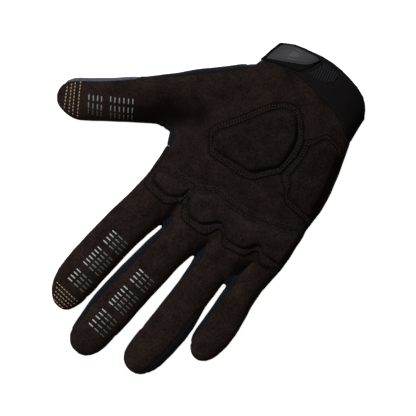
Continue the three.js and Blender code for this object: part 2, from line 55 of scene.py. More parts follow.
bpy.ops.object.camera_add(location=(VIEW_CENTRE[0] * MM, VIEW_CENTRE[1] * MM, VIEW_DISTANCE * MM))
camera = bpy.context.object
camera.name = "camera"
camera.data.sensor_width = SENSOR
camera.data.lens = SENSOR * VIEW_DISTANCE / VIEW_WIDTH
up = Vector((0, 0, 1)).cross(VIEW_RIGHT)
camera.rotation_euler = Matrix((VIEW_RIGHT, up, (0, 0, 1))).transposed().to_euler()
bpy.context.scene.camera = camera


# Places read off the photograph as if they were on the table, moved to where they are at their own height.
def seen_at(height, spots):
    share = height / VIEW_DISTANCE
    return [(x + (VIEW_CENTRE[0] - x) * share, y + (VIEW_CENTRE[1] - y) * share) for x, y in spots]


# How high the glove's top lies over the table where such places are.
CUFF_TOP = 31
CUFF_SEAM_TOP = 30
HEEL_TOP = 28
KNUCKLE_TOP = 25
DASH_TOP = 21
TIP_TOP = 20

# The sizes of the form and of what cuts it.
WALL = 1.3  # the cloth's thickness
VOXEL = 0.8  # of the remesh of the form
INNER_VOXEL = 1.6  # of the remesh of its hollow
SEAM_GAP = 0.12  # between two sewn pieces
SKY = 90  # over everything, where what cuts ends
FOOT = 4  # where the blocks of the small sewn pieces start
UNDER = -9  # under everything
LOWEST = -1.5  # where the sections end, before the form is settled
SETTLE = 0.6  # the height below which the cloth is pressed onto the table
CURL_START = 40  # where the fingers start to rise
CURL_RADIUS = 500
HAND_POWER, HAND_SIDES = 2.6, 36  # how square a section is, and its count of sides
DIGIT_POWER, DIGIT_SIDES = 2.2, 28

# Sections of the hand and of each digit: rows of (along, left, right, bottom, top). A digit's are in a frame
# of its own, which stands at (x, y) and leans by an angle from the fingers.
HAND = [
    (-98, -31.6, 29.4, -1.5, 31), (-90, -32, 30.9, -1.5, 31), (-84, -32.7, 32, -1.5, 31),
    (-77, -33.9, 33.3, -1.5, 31), (-72, -34.9, 34, -1.5, 30.8), (-66, -36.1, 34.4, -1.5, 30.5),
    (-61, -37.7, 35.5, -1.5, 30.2), (-55, -40.4, 36.9, -1.5, 30), (-48, -43.3, 37.8, -1.5, 29.8),
    (-41, -46.3, 38.3, -1.5, 29.4), (-34, -48.8, 38.7, -1.5, 29), (-27, -50.8, 39.2, -1.5, 28.6),
    (-20, -52.4, 39.8, -1.5, 28.1), (-10, -53.2, 42, -1.5, 27.5), (-2, -54.1, 45.4, -1.5, 27),
    (5, -56.1, 45.8, -1.5, 26.6), (12, -57.6, 41.8, -1.5, 26), (20, -58.6, 40, -1.5, 25.2),
    (25, -58.8, 39.4, -1.5, 24.6), (30, -58.9, 38.7, -1.5, 23.8), (36, -59, 38.2, -1.5, 22.3),
    (42, -59.2, 38.1, -1.5, 20), (46.6, -59.6, 38.1, -1.5, 17), (49, -58.8, 37.5, 0, 13),
]
DIGITS = {
    "index": ((0, 0, 0), [
        (26, 14.2, 38.4, -1.5, 20), (38, 13.2, 38.3, -1.5, 21), (44, 12.9, 38.3, -1.5, 20.2),
        (50, 12.5, 38.6, -1.5, 19), (54, 13.2, 38.9, -1.5, 18.4), (60, 14.1, 39.4, -1.5, 18),
        (70, 14.7, 39.8, -1.5, 17.6), (80, 14.9, 40, -1.5, 17.5), (95, 14.7, 39.8, -1.5, 17.3),
        (104, 14.5, 39.2, -1.5, 17.1), (110, 14.6, 38.6, -1.5, 16.8), (116, 15, 36.6, -1.2, 16.2),
        (120.4, 16, 34, 0, 15), (123.5, 17.4, 31.2, 1.8, 13.5), (125.4, 19.4, 28.4, 3.8, 11.8),
        (126.2, 21.6, 25.6, 6, 10),
    ]),
    "middle": ((0, 0, 0), [
        (26, -13.4, 11.2, -1.5, 20.5), (38, -14, 11, -1.5, 21.5), (45, -14.2, 10.8, -1.5, 20.4),
        (50, -14, 10.5, -1.5, 19.1), (54, -13.4, 10.6, -1.5, 18.5), (60, -12.8, 11.2, -1.5, 18.2),
        (70, -12.9, 11.8, -1.5, 18), (85, -13, 12.3, -1.5, 17.8), (97, -13.4, 12.5, -1.5, 17.7),
        (105, -13.6, 12.2, -1.5, 17.5), (112, -13.6, 11.7, -1.5, 17.3), (118, -13.5, 10.7, -1.5, 17),
        (125, -13.3, 9.7, -1.3, 16.4), (130.2, -12.3, 8.7, -0.3, 15.2), (134, -10.5, 6.6, 1.4, 13.7),
        (136.9, -8, 3.6, 3.4, 11.9), (138.4, -5, 0.4, 6, 9.6),
    ]),
    "ring": ((0, 0, 0), [
        (26, -38.6, -16.4, -1.5, 19.5), (38, -39.3, -15.6, -1.5, 20.8), (45, -39.4, -15.6, -1.5, 19.5),
        (50, -39.1, -15.9, -1.5, 18.1), (54, -39.5, -16.9, -1.5, 17.7), (60, -40.3, -18, -1.5, 17.3),
        (68, -41, -19, -1.5, 17.1), (74, -42.4, -19.6, -1.5, 17), (82, -44.2, -20.3, -1.5, 17),
        (90, -45.2, -20.9, -1.5, 16.9), (100, -45.6, -21.5, -1.5, 16.7), (110, -45.1, -22.1, -1.5, 16.2),
        (115.2, -44, -22.7, -1, 15.6), (119.6, -42.2, -24, 0.4, 14.4), (122.5, -39.8, -26.2, 2.4, 12.8),
        (124.3, -37, -28.7, 4.4, 11), (125, -34.4, -31.2, 6.4, 9),
    ]),
    "little": ((0, 0, 0), [
        (17, -57.2, -42, -1.5, 19), (28, -58.4, -41.4, -1.5, 20.3), (38, -59, -41, -1.5, 19),
        (45, -60.2, -41, -1.5, 17.6), (50, -61.3, -41.7, -1.5, 16.6), (55, -62.8, -42.4, -1.5, 15.9),
        (62, -64.4, -43.5, -1.5, 15.4), (68, -65.7, -44.4, -1.5, 15.1), (75, -66.4, -45.4, -1.5, 14.9),
        (80, -66.2, -46, -1.4, 14.5), (84, -65.6, -46.7, -1, 14.1), (87.2, -64.7, -48, 0.3, 13.2),
        (90.5, -63, -50.3, 2.3, 11.8), (92.5, -60.7, -52.6, 4, 10.3), (93.5, -58.6, -54.9, 5.6, 8.8),
    ]),
    "thumb": ((54.2, -14.3, 47), [
        (-46, -17.4, 20.6, -1.5, 23.5), (-35, -26, 20, -1.5, 25), (-23.5, -29, 18.7, -1.5, 25.3),
        (-8.3, -26.5, 17.1, -1.1, 24.4), (1, -22.8, 15.3, -0.8, 22.4), (7, -19.6, 14.4, -0.4, 21.3),
        (14.6, -15.4, 13.7, 0.2, 20.7), (27, -14.3, 12.7, 1.3, 20.9), (40, -13.8, 11.9, 2.8, 21.6),
        (53.6, -13.5, 11.6, 4.4, 22.3), (60.5, -13, 12, 5.5, 22.4), (64, -12, 11.6, 6.2, 22.1),
        (67.4, -10.2, 10.3, 7.3, 21.2), (70.4, -7.7, 8.2, 8.8, 19.9), (72.8, -4.8, 5.4, 10.6, 18.3),
        (74.1, -2, 2.3, 12.5, 16.4),
    ]),
}
# The smaller sections that a digit starts with, inside the hand: how far back, and their share of the first.
ROOT_STEPS = ((26, 0.45), (19, 0.7), (12, 0.86), (6, 0.96))

# Dents of the palm: (x, y, half width, half length, depth as a share of the height there).
DENTS = [
    (6, 1, 22, 13, 0.06), (50, -3, 12.5, 13, 0.6), (30, 8, 16, 14, 0.12), (-19, -46, 9, 22, 0.05),
    (11, 43, 4.5, 9, 0.24), (-16, 44, 4.5, 9, 0.24), (-41, 36, 4.5, 9, 0.26),
]
# Folds in the palm: how deep, how wide, and the line that each follows.
FOLDS = [
    (1.7, 1.3, [(-41.5, 40), (-42, 34), (-43, 29.5), (-46, 27.3), (-52, 25), (-58, 21)]),
    (0.7, 1.3, [(-41.5, 46), (-41, 40), (-42, 30)]),
    (0.8, 1.6, [(11, 48), (11.5, 41), (12.5, 35)]),
    (0.8, 1.6, [(-15.5, 48), (-16, 41), (-17, 34)]),
]

# Where the suede ends in plan on each digit, and the height of its seam there: (along, left, right, seam).
SUEDE = {
    "hand": [
        (-98, -36, 36, 15), (-72, -39, 36, 15), (-62, -41, 36, 12), (-57, -43, 36.8, 10),
        (-50, -46, 38.3, 8.5), (-30, -54, 40, 8), (0, -58, 41, 6), (4, -60, 47, 5.5), (14, -61, 43, 6),
        (20, -62, 43, 8), (40, -62, 41, 8), (51.5, -62, 41, 8),
    ],
    "index": [
        (26, 12, 42, 8), (50, 12.3, 42, 8.5), (80, 14.6, 43, 8.5), (110, 14.6, 42, 8.5), (131, 12, 42, 8.5),
    ],
    "middle": [
        (26, -15.4, 12, 8), (48, -15, 8, 8.5), (56, -14, 7.4, 9), (80, -13.5, 8.5, 9), (100, -13.6, 9.4, 9),
        (112, -13.8, 8.9, 9), (122, -14, 8.1, 9), (130, -14, 8.9, 9), (134, -14, 10, 9), (143, -14, 10, 9),
    ],
    "ring": [
        (26, -40, -15, 8), (50, -40, -19.8, 8), (60, -41, -19.5, 8.5), (66, -40.4, -19.7, 8.5),
        (72, -39.4, -20.2, 8.5), (80, -39.2, -20.8, 8.5), (86, -40, -20.6, 8.5), (92, -40.7, -20, 8.5),
        (100, -41, -20.5, 8.5), (110, -40.7, -21, 8.5), (118, -40.1, -21, 8.5), (123, -41.5, -21, 8.5),
        (130, -42, -21, 8.5),
    ],
    "little": [
        (17, -62, -40, 8), (40, -62, -41.5, 8), (46, -63, -43.4, 8), (55, -65, -45.2, 8), (62, -66, -46, 8),
        (70, -67, -46.8, 8), (78, -68, -47.3, 8), (85, -68, -47.9, 8), (89, -68, -47, 8), (98, -68, -47, 8),
    ],
    "thumb": [
        (-46, -30, 16.6, 9), (-35, -31, 16.4, 10), (-23.5, -31, 15.2, 8), (-8.3, -30, 13.6, 6.5),
        (1, -26, 12.6, 6.5), (7, -22, 12.4, 6.5), (14.6, -18, 12.9, 7.5), (20, -16, 13, 9),
        (25, -15, 13.1, 11), (27.5, -15, 11.4, 12.5), (34, -15, 10.7, 13), (44, -15, 10, 14),
        (53.6, -15, 9.8, 15), (60, -14, 10, 15.5), (64, -13, 9.9, 15.5), (68, -13, 9.6, 15.5),
        (79, -13, 10, 15.5),
    ],
}

# Outlines and lines in plan: the hem, the seam of the cuff, and the small sewn pieces.
HEM = seen_at(CUFF_TOP, [
    (-45, -78.6), (-36, -79.4), (-33.4, -81.8), (-31, -84.8), (-28.6, -87), (-24.5, -89.6), (-18, -91.3),
    (-10, -92.1), (-4, -92.3), (3, -91.8), (10, -90.5), (18, -87.9), (25, -85), (31, -82.2), (33.5, -80.8),
    (45, -77),
])
CUFF_SEAM = seen_at(CUFF_SEAM_TOP, [
    (-45, -65), (-36, -65), (-31, -66), (-25, -69), (-18, -70.5), (-10, -71.5), (0, -72), (8, -72),
    (15, -71.5), (20, -70), (26, -69), (31, -67.8), (45, -66),
])
GORE = [(31.6, -68.6), (33.3, -65), (35.4, -60), (38, -56), (50, -56), (50, -68.6)]
THUMB_WEB = [(44, 13), (39.6, 11.6), (40.6, 7), (43.4, 3.4), (47.4, 2.4), (51, 3), (50, 13)]
CROTCHES = {
    "fourchette_ring_little": [
        (-42, 33), (-40.6, 33), (-39.3, 40), (-38.4, 50), (-40.4, 51.5), (-45, 50), (-43.4, 42),
    ],
    "fourchette_middle_ring": [
        (-18.2, 43), (-17, 41.4), (-15.6, 42), (-14.6, 45.5), (-14.2, 50), (-15, 51.5), (-19.4, 50),
        (-19, 46),
    ],
    "fourchette_index_middle": [
        (8.8, 43), (10, 41.2), (11.8, 41.6), (12.9, 45), (13.2, 50), (12, 51.5), (8.6, 50), (8.3, 46),
    ],
}
STRIPS = {
    "fourchette_ring_little": [
        (-41, 40), (-35, 50), (-36, 66), (-38, 80), (-39.5, 100), (-39, 117), (-44, 121), (-50, 110),
        (-49, 96), (-47.5, 91), (-50.5, 86), (-50, 70), (-47, 55),
    ],
    "fourchette_middle_ring": [
        (-15.3, 40), (-9, 50), (-7.5, 70), (-8, 105), (-14, 118), (-18, 112), (-23.5, 96), (-25.5, 88),
        (-25, 70), (-22, 55),
    ],
    "fourchette_index_middle": [
        (12, 40), (17, 50), (19.5, 70), (19.5, 100), (14, 112), (13.5, 128), (8.3, 131), (6, 122), (7, 100),
        (6, 75), (5, 56),
    ],
}


def deselect():
    bpy.ops.object.select_all(action="DESELECT")


def pick(piece):
    deselect()
    piece.select_set(True)
    bpy.context.view_layer.objects.active = piece


# What is done with this is done in edit mode, and starts with the whole of the active piece selected.
@contextlib.contextmanager
def editing():
    bpy.ops.object.mode_set(mode="EDIT")
    bpy.ops.mesh.select_all(action="SELECT")
    yield
    bpy.ops.object.mode_set(mode="OBJECT")


def apply_modifier(piece, kind, **settings):
    pick(piece)
    modifier = piece.modifiers.new(kind.title(), kind)
    for key, value in settings.items():
        setattr(modifier, key, value)
    bpy.ops.object.modifier_apply(modifier=modifier.name)


# Cuts a piece with a tool: takes the tool out of it, or does what else the operation says.
def cut(piece, tool, operation="DIFFERENCE"):
    apply_modifier(piece, "BOOLEAN", object=tool, operation=operation, solver="MANIFOLD")


def copy_of(piece, name):
    twin = piece.copy()
    twin.data = piece.data.copy()
    twin.name = name
    bpy.context.collection.objects.link(twin)
    return twin


def drop(*pieces):
    for piece in pieces:
        bpy.data.objects.remove(piece, do_unlink=True)


# Drops the crumbs that a cut can leave beside a piece, and gives what is left.
def without_crumbs(piece):
    name = piece.name
    pick(piece)
    with editing():
        bpy.ops.mesh.separate(type="LOOSE")
    *crumbs, largest = sorted(bpy.context.selected_objects, key=lambda part: len(part.data.vertices))
    drop(*crumbs)
    largest.name = name
    return largest


MERGE = 0.03  # points closer than this are joined
CUT_ANGLE, SMALL_ANGLE = math.radians(40), math.radians(50)  # edges that are sharper stay sharp


# Cleans the faces that cuts leave. Those with many sides are split first: merging points can lose one whole.
def finish_cut(piece):
    pick(piece)
    with editing():
        bpy.ops.mesh.select_face_by_sides(number=4, type="GREATER", extend=False)
        bpy.ops.mesh.quads_convert_to_tris()
        bpy.ops.mesh.select_all(action="SELECT")
        bpy.ops.mesh.remove_doubles(threshold=MERGE * MM)
        bpy.ops.mesh.normals_make_consistent(inside=False)
    bpy.ops.object.shade_smooth_by_angle(angle=CUT_ANGLE)


# A piece's points in millimetres, as rows of an array.
def points_of(piece):
    values = np.empty(len(piece.data.vertices) * 3)
    piece.data.vertices.foreach_get("co", values)
    return values.reshape(-1, 3) / MM


def move_points(piece, points):
    piece.data.vertices.foreach_set("co", (points * MM).ravel())
    piece.data.update()


def normals_of(piece):
    values = np.empty(len(piece.data.vertices) * 3)
    piece.data.vertex_normals.foreach_get("vector", values)
    return values.reshape(-1, 3)


def smoothstep(values):
    values = np.clip(values, 0, 1)
    return values * values * (3 - 2 * values)


# A bell of this width: 1 where away is nothing, and close to 0 at twice the width.
def bell(away, width):
    return np.exp(-((away / width) ** 2))


# Extrudes a section with round corners from row to row into a closed tube.
def tube(name, rows, power, sides):
    deselect()
    bpy.ops.mesh.primitive_circle_add(
        vertices=sides, radius=1, fill_type="NGON", rotation=(math.pi / 2, 0, 0)
    )
    piece = bpy.context.object
    piece.name = name
    bpy.ops.object.transform_apply()
    for vertex in piece.data.vertices:
        x, z = vertex.co.x, vertex.co.z
        vertex.co.x = math.copysign(abs(x) ** (2 / power), x) * MM
        vertex.co.z = math.copysign(abs(z) ** (2 / power), z) * MM
    width, height, before = 2, 2, Vector((0, 0, 0))
    with editing():
        for i, (y, left, right, bottom, top) in enumerate(rows):
            middle = Vector((left + right, 2 * y, bottom + top)) * MM / 2
            if i == 0:
                bpy.ops.transform.translate(value=middle)
            else:
                bpy.ops.mesh.extrude_region_move(TRANSFORM_OT_translate={"value": middle - before})
            size = ((right - left) / width, 1, (top - bottom) / height)
            bpy.ops.transform.resize(value=size, center_override=middle)
            width, height, before = right - left, top - bottom, middle
        bpy.ops.mesh.select_all(action="SELECT")
        bpy.ops.mesh.normals_make_consistent(inside=False)
    return piece


# Extrudes an outline seen from above into a block between two heights.
def prism(outline, bottom, top):
    deselect()
    bpy.ops.mesh.primitive_circle_add(vertices=len(outline), radius=1, fill_type="NGON")
    piece = bpy.context.object
    for vertex, (x, y) in zip(piece.data.vertices, outline):
        vertex.co = (x * MM, y * MM, bottom * MM)
    with editing():
        bpy.ops.mesh.extrude_region_move(TRANSFORM_OT_translate={"value": (0, 0, (top - bottom) * MM)})
        bpy.ops.mesh.select_all(action="SELECT")
        bpy.ops.mesh.normals_make_consistent(inside=False)
    return piece


# A round curve through the points of an outline, closed or open.
def rounded(outline, steps=6, closed=True):
    points = np.array(outline, float)
    count = len(points)
    result = []
    for i in range(count if closed else count - 1):
        if closed:
            p0, p1, p2, p3 = (points[(i + k) % count] for k in (-1, 0, 1, 2))
        else:
            p0, p1, p2, p3 = (points[min(max(i + k, 0), count - 1)] for k in (-1, 0, 1, 2))
        for step in range(steps):
            t = step / steps
            curve = 2 * p1 + (p2 - p0) * t + (2 * p0 - 5 * p1 + 4 * p2 - p3) * t**2
            result.append((curve + (3 * p1 - p0 - 3 * p2 + p3) * t**3) / 2)
    if not closed:
        result.append(points[-1])
    return np.array(result)


MITRE = 0.5  # the least cosine at a corner: it is drawn out to twice the distance at most


# The outline moved outwards by a distance.
def offset(outline, distance):
    points = np.array(outline, float)
    following = np.roll(points, -1, axis=0)
    turn = np.sign(np.sum(points[:, 0] * following[:, 1] - following[:, 0] * points[:, 1]))
    after = following - points
    after /= np.linalg.norm(after, axis=1)[:, None]
    before = np.roll(after, 1, axis=0)
    along = before + after
    along /= np.linalg.norm(along, axis=1)[:, None]
    reach = turn * distance / np.maximum(np.sum(along * after, axis=1), MITRE)
    return points + np.stack([along[:, 1] * reach, -along[:, 0] * reach], axis=1)


FAR, TINY = 1e9, 1e-12


# How far each point is from a line, which may be closed.
def distance_to(line, points, closed=True):
    line = np.array(line, float)
    starts = line if closed else line[:-1]
    ends = np.roll(line, -1, axis=0) if closed else line[1:]
    best = np.full(len(points), FAR)
    for start, end in zip(starts, ends):
        edge = end - start
        share = np.clip((points - start) @ edge / max(edge @ edge, TINY), 0, 1)
        best = np.minimum(best, np.linalg.norm(points - start - share[:, None] * edge, axis=1))
    return best


# Which points are inside an outline.
def inside(outline, points):
    outline = np.array(outline, float)
    result = np.zeros(len(points), bool)
    for (x0, y0), (x1, y1) in zip(outline, np.roll(outline, -1, axis=0)):
        crosses = (y0 > points[:, 1]) != (y1 > points[:, 1])
        with np.errstate(divide="ignore", invalid="ignore"):
            where = x0 + (points[:, 1] - y0) / (y1 - y0) * (x1 - x0)
        result ^= crosses & (points[:, 0] < where)
    return result


# Distance to an outline, above zero inside it.
def depth_in(outline, points):
    return np.where(inside(outline, points), 1, -1) * distance_to(outline, points)


# A place in a digit's own frame, in the glove's.
def placed(stand, along, across):
    x, y, lean = stand
    lean = math.radians(lean)
    return (
        x + along * math.sin(lean) + across * math.cos(lean),
        y + along * math.cos(lean) - across * math.sin(lean),
    )


# How far the fingers rise towards the palm at a distance from the wrist.
def curl(y):
    return np.maximum(0, y - CURL_START) ** 2 / (2 * CURL_RADIUS)


# The palm's side of the seam that runs round the hand and the digits, made bigger by grow.
def palm_side(grow):
    whole = None
    for name, rows in SUEDE.items():
        stand = DIGITS[name][0] if name in DIGITS else (0, 0, 0)
        points = []
        for along, left, right, seam in rows:
            low, high = placed(stand, along, left - grow), placed(stand, along, right + grow)
            points += [
                (*low, seam + curl(low[1]) - grow), (*high, seam + curl(high[1]) - grow),
                (*high, SKY), (*low, SKY),
            ]
        faces = [(0, 1, 2, 3), tuple(len(points) - k for k in (1, 2, 3, 4))]
        for i in range(0, len(points) - 4, 4):
            faces += [(i + k, i + 4 + k, i + 4 + (k + 1) % 4, i + (k + 1) % 4) for k in range(4)]
        mesh = bpy.data.meshes.new(name)
        mesh.from_pydata([Vector(p) * MM for p in points], [], faces)
        piece = bpy.data.objects.new(name, mesh)
        bpy.context.collection.objects.link(piece)
        if whole is None:
            whole = piece
        else:
            cut(whole, piece, "UNION")
            drop(piece)
    return whole


# A digit's rows with smaller ones before them, so that it grows out of the hand without a step.
def with_root(rows):
    along, left, right, bottom, top = rows[0]
    across, height = (left + right) / 2, (bottom + top) / 2
    root = []
    for back, share in ROOT_STEPS:
        half, rise = (right - left) / 2 * share, (top - bottom) / 2 * share
        root.append((along - back, across - half, across + half, height - rise, height + rise))
    return root + rows


# Makes the hollow form: the hand and the digits joined, settled where they lie, and dented.
def make_form():
    parts = [tube("hand", HAND, HAND_POWER, HAND_SIDES)]
    for name, (stand, rows) in DIGITS.items():
        digit = tube(name, with_root(rows), DIGIT_POWER, DIGIT_SIDES)
        digit.location = (stand[0] * MM, stand[1] * MM, 0)
        digit.rotation_euler.z = -math.radians(stand[2])
        pick(digit)
        bpy.ops.object.transform_apply()
        parts.append(digit)
    pick(parts[0])
    for part in parts[1:]:
        part.select_set(True)
    bpy.ops.object.join()
    form = bpy.context.object
    form.name = "form"
    apply_modifier(form, "REMESH", mode="VOXEL", voxel_size=VOXEL * MM)
    apply_modifier(form, "SMOOTH", factor=0.5, iterations=5)
    points = points_of(form)
    x, y, z = points.T
    pressed = np.exp(np.minimum(z - SETTLE, 0) / SETTLE) - np.exp((LOWEST - SETTLE) / SETTLE)
    height = np.where(z > SETTLE, z, np.maximum(0, SETTLE * pressed))
    scale = np.ones(len(points))
    for dent_x, dent_y, wide, long, deep in DENTS:
        scale *= 1 - deep * np.exp(-(((x - dent_x) / wide) ** 2) - ((y - dent_y) / long) ** 2)
    points[:, 2] = height * scale + curl(y)
    move_points(form, points)
    return form


WAVE_DEPTH = 0.14
WAVES_FROM, WAVES_FADE = 1.5, 5  # the height where the waves start, and how far up they are at full depth
FOLDS_FROM, FOLDS_FADE = 8, 4  # the same for the folds
SMOOTHED_OFF = 0.3


# Cloth isn't as even as a tube: it gets soft waves all over, and folds where the palm bends. Smoothing took a
# little off the form all round, and this gives it back.
def crease(form):
    points = points_of(form)
    normals = normals_of(form)
    x, y, z = points.T
    waves = np.sin(x / 5.3 + 1.7 * np.sin(y / 11)) * np.sin(y / 7.1 + 1.3 * np.sin(x / 9 + 2))
    waves += 0.5 * np.sin(x / 2.9 + y / 3.7 + 2 * np.sin(z / 5)) * np.sin(y / 3.1 - x / 6.3)
    depth = WAVE_DEPTH * waves * smoothstep((z - WAVES_FROM) / WAVES_FADE)
    for deep, wide, line in FOLDS:
        away = distance_to(rounded(line, closed=False), points[:, :2], closed=False)
        upper = smoothstep((z - FOLDS_FROM) / FOLDS_FADE) * (normals[:, 2] > 0)
        depth -= deep * bell(away, wide) * upper
    points += normals * (depth + SMOOTHED_OFF)[:, None]
    points[:, 2] = np.maximum(points[:, 2], 0)
    move_points(form, points)


form = make_form()
crease(form)
form_tree = BVHTree.FromObject(form, bpy.context.evaluated_depsgraph_get())


# The block that holds a small sewn piece, made bigger by grow.
def block(outline, grow):
    return prism(offset(outline, grow), FOOT - grow, SKY)


# The same for a strip between two fingers: what its outline holds under the palm's side, and the crotch.
def strip_block(name, grow):
    strip = block(STRIPS[name], grow)
    side = palm_side(SEAM_GAP - grow)
    cut(strip, side)
    crotch = block(CROTCHES[name], grow)
    cut(strip, crotch, "UNION")
    drop(side, crotch)
    return strip


BEYOND_WRIST = [(60, -130), (-60, -130)]


# The outline of all that lies on the wrist's side of a line.
def below(line):
    return [tuple(p) for p in line] + BEYOND_WRIST


THUMB_STAND = DIGITS["thumb"][0]
WIPE = [placed(THUMB_STAND, *spot) for spot in [(24.8, -2), (24.8, 22), (69.5, 22), (69.5, 5), (52.5, -2)]]
# The region that each sewn piece is cut with. What is left is the back panel.
SEWN = {
    "cuff": lambda grow: prism(offset(below(CUFF_SEAM), grow), UNDER, SKY),
    "wrist_gore": lambda grow: block(GORE, grow),
    "thumb_web": lambda grow: block(THUMB_WEB, grow),
    **{name: functools.partial(strip_block, name) for name in STRIPS},
    "palm_panel": palm_side,
    "thumb_wipe": lambda grow: prism(offset(WIPE, grow), UNDER, SKY),
}


# Cuts the hollow form into its sewn pieces. A piece leaves out what those before it take.
def make_panels():
    inner = copy_of(form, "inner")
    move_points(inner, points_of(inner) - WALL * normals_of(inner))
    apply_modifier(inner, "REMESH", mode="VOXEL", voxel_size=INNER_VOXEL * MM)
    rest = copy_of(form, "back_panel")
    cut(rest, inner)
    hem = prism(below(HEM), UNDER, SKY)
    cut(rest, hem)
    drop(inner, hem)
    panels = {}
    for name, region in SEWN.items():
        piece = copy_of(rest, name)
        near, far = region(0), region(SEAM_GAP)
        cut(piece, near, "INTERSECT")
        cut(rest, far)
        drop(near, far)
        panels[name] = piece
    panels["back_panel"] = rest
    return panels


# Cloth rolls in where two pieces are sewn together: this deep, over this width, and only at the form's skin.
def roll_seams(panels, deep=0.38, wide=1.6, skin=0.3):
    graph = bpy.context.evaluated_depsgraph_get()
    trees = {name: BVHTree.FromObject(piece, graph) for name, piece in panels.items()}
    boxes = {}
    for name, piece in panels.items():
        points = points_of(piece)
        boxes[name] = (points.min(axis=0) - wide, points.max(axis=0) + wide)
    for name, piece in panels.items():
        points = points_of(piece)
        moved = points.copy()
        for other, tree in trees.items():
            if other == name:
                continue
            low, high = boxes[other]
            for i in np.nonzero(np.all((points > low) & (points < high), axis=1))[0]:
                spot = Vector(points[i]) * MM
                away = tree.find_nearest(spot, wide * MM)[3]
                if away is None:
                    continue
                normal = form_tree.find_nearest(spot, skin * MM)[1]
                if normal is None:
                    continue
                pull = deep * (1 - smoothstep((away / MM - SEAM_GAP) / (wide - SEAM_GAP)))
                target = points[i] - np.array(normal) * pull
                if np.linalg.norm(target - points[i]) > np.linalg.norm(moved[i] - points[i]):
                    moved[i] = target
        move_points(piece, moved)


# The stitched patches of the palm: the line that each is cut along, and the line round its padding. The two
# under the fingers end at the zigzag line.
THENAR = seen_at(HEEL_TOP, [
    (-19.3, -22), (-18, -20), (-14, -14), (-10, -8), (-5, -5), (0, -4), (8, -3), (15, -1.8), (19, -1.5),
    (22, -3.5), (26, -7.5), (29, -11), (29.5, -14), (28, -19), (24, -26), (20.3, -33), (17.4, -40),
    (13.8, -47.2), (9.2, -53.2), (3.6, -57), (-1, -57.5), (-6, -55.2), (-10.2, -51.6), (-13.8, -48),
    (-15.9, -46.2), (-17.8, -42), (-19.4, -36), (-19.5, -30),
])
THENAR_CROWN = seen_at(HEEL_TOP, [
    (-15.5, -24), (-12, -19), (-8, -13), (-5, -10.5), (0, -9.5), (8, -8), (17, -6.5), (21, -7.5), (24, -10),
    (25.5, -13), (24, -17), (20, -24), (16.2, -32), (13.2, -39), (9.6, -46), (5.6, -51.3), (0, -53.6),
    (-3.6, -52.6), (-8.6, -47.8), (-12.2, -43), (-14, -38), (-15.5, -31),
])
HEEL = seen_at(HEEL_TOP, [
    (-52.5, -11), (-45, -11), (-35, -10.5), (-32, -12), (-30, -14), (-26, -18), (-20.8, -20.5), (-20.2, -23),
    (-20.2, -30), (-20, -36), (-18.6, -42), (-17.2, -46), (-17.7, -48), (-20, -50), (-21.5, -53), (-23, -57),
    (-27, -58.3), (-33, -58), (-37, -57), (-40, -52), (-43, -45), (-46, -38), (-48.5, -31), (-50.5, -22),
    (-52, -15),
])
HEEL_CROWN = seen_at(HEEL_TOP, [
    (-50, -15), (-40, -14.5), (-34, -14.5), (-31, -17), (-28.5, -21.5), (-25.2, -24), (-24.6, -27),
    (-24.2, -35), (-22.6, -42), (-21.6, -46), (-23.2, -49), (-24.5, -53), (-26.5, -55.3), (-33, -55),
    (-37, -53.4), (-39.6, -47), (-43, -39), (-46, -31), (-48, -22),
])
ZIGZAG = [
    (-53.5, -4), (-50, -3.5), (-47, -1.5), (-42, 1), (-35, 4), (-28, 7), (-22, 9), (-12, 11), (-2, 12),
    (3, 13), (6, 15.5), (10, 18), (13, 19.5), (20, 20), (27, 20.8), (33, 22), (36, 24.5), (38, 26),
]
ZIGZAG_CURVE = rounded(seen_at(KNUCKLE_TOP, ZIGZAG), closed=False)
KNUCKLE = seen_at(KNUCKLE_TOP, [
    (-57.6, 22.5), (-53, 25.5), (-48, 26), (-45, 24), (-42, 22), (-40, 22.5), (-38, 27), (-36, 30),
    (-30, 31.5), (-24, 33.3), (-21.5, 32), (-20, 29), (-17, 27.5), (-14.5, 28.5), (-13, 33), (-11, 36),
    (-8, 37.5), (-2, 38), (4, 38.3), (7, 37), (9, 34), (10.5, 31.5), (12.3, 30.4), (12.3, 19.4),
    *ZIGZAG[11:0:-1], (-54, -4), (-56, 3), (-57.4, 12),
])
KNUCKLE_CROWN = seen_at(KNUCKLE_TOP, [
    (-56, 18), (-50, 19.5), (-45, 20), (-42, 18.5), (-39, 18.5), (-37, 21), (-35, 24.5), (-32, 27),
    (-28, 28), (-23, 28.7), (-20, 27), (-17, 24.5), (-14, 24), (-11, 26), (-8, 30), (-5, 32.5), (0, 33.5),
    (4, 34), (6.5, 32.5), (8.5, 30), (10, 27), *((x, y + 1) for x, y in ZIGZAG[11:1:-1]), (-53, -2),
    (-55, 4), (-56, 12),
])
INDEX = seen_at(KNUCKLE_TOP, [
    (12.7, 31), (14, 32.5), (16, 36), (19, 38.5), (22, 39), (28, 39), (36, 38.5), (37.5, 33), (38.2, 26),
    *ZIGZAG[16:12:-1], (12.7, 19.4),
])
INDEX_CROWN = seen_at(KNUCKLE_TOP, [
    (14.5, 21.5), (14.5, 28), (17, 31), (22, 34), (30, 34), (34, 33), (36, 28), (36.6, 25), (34, 22.6),
    (25, 21.6), (18, 21),
])
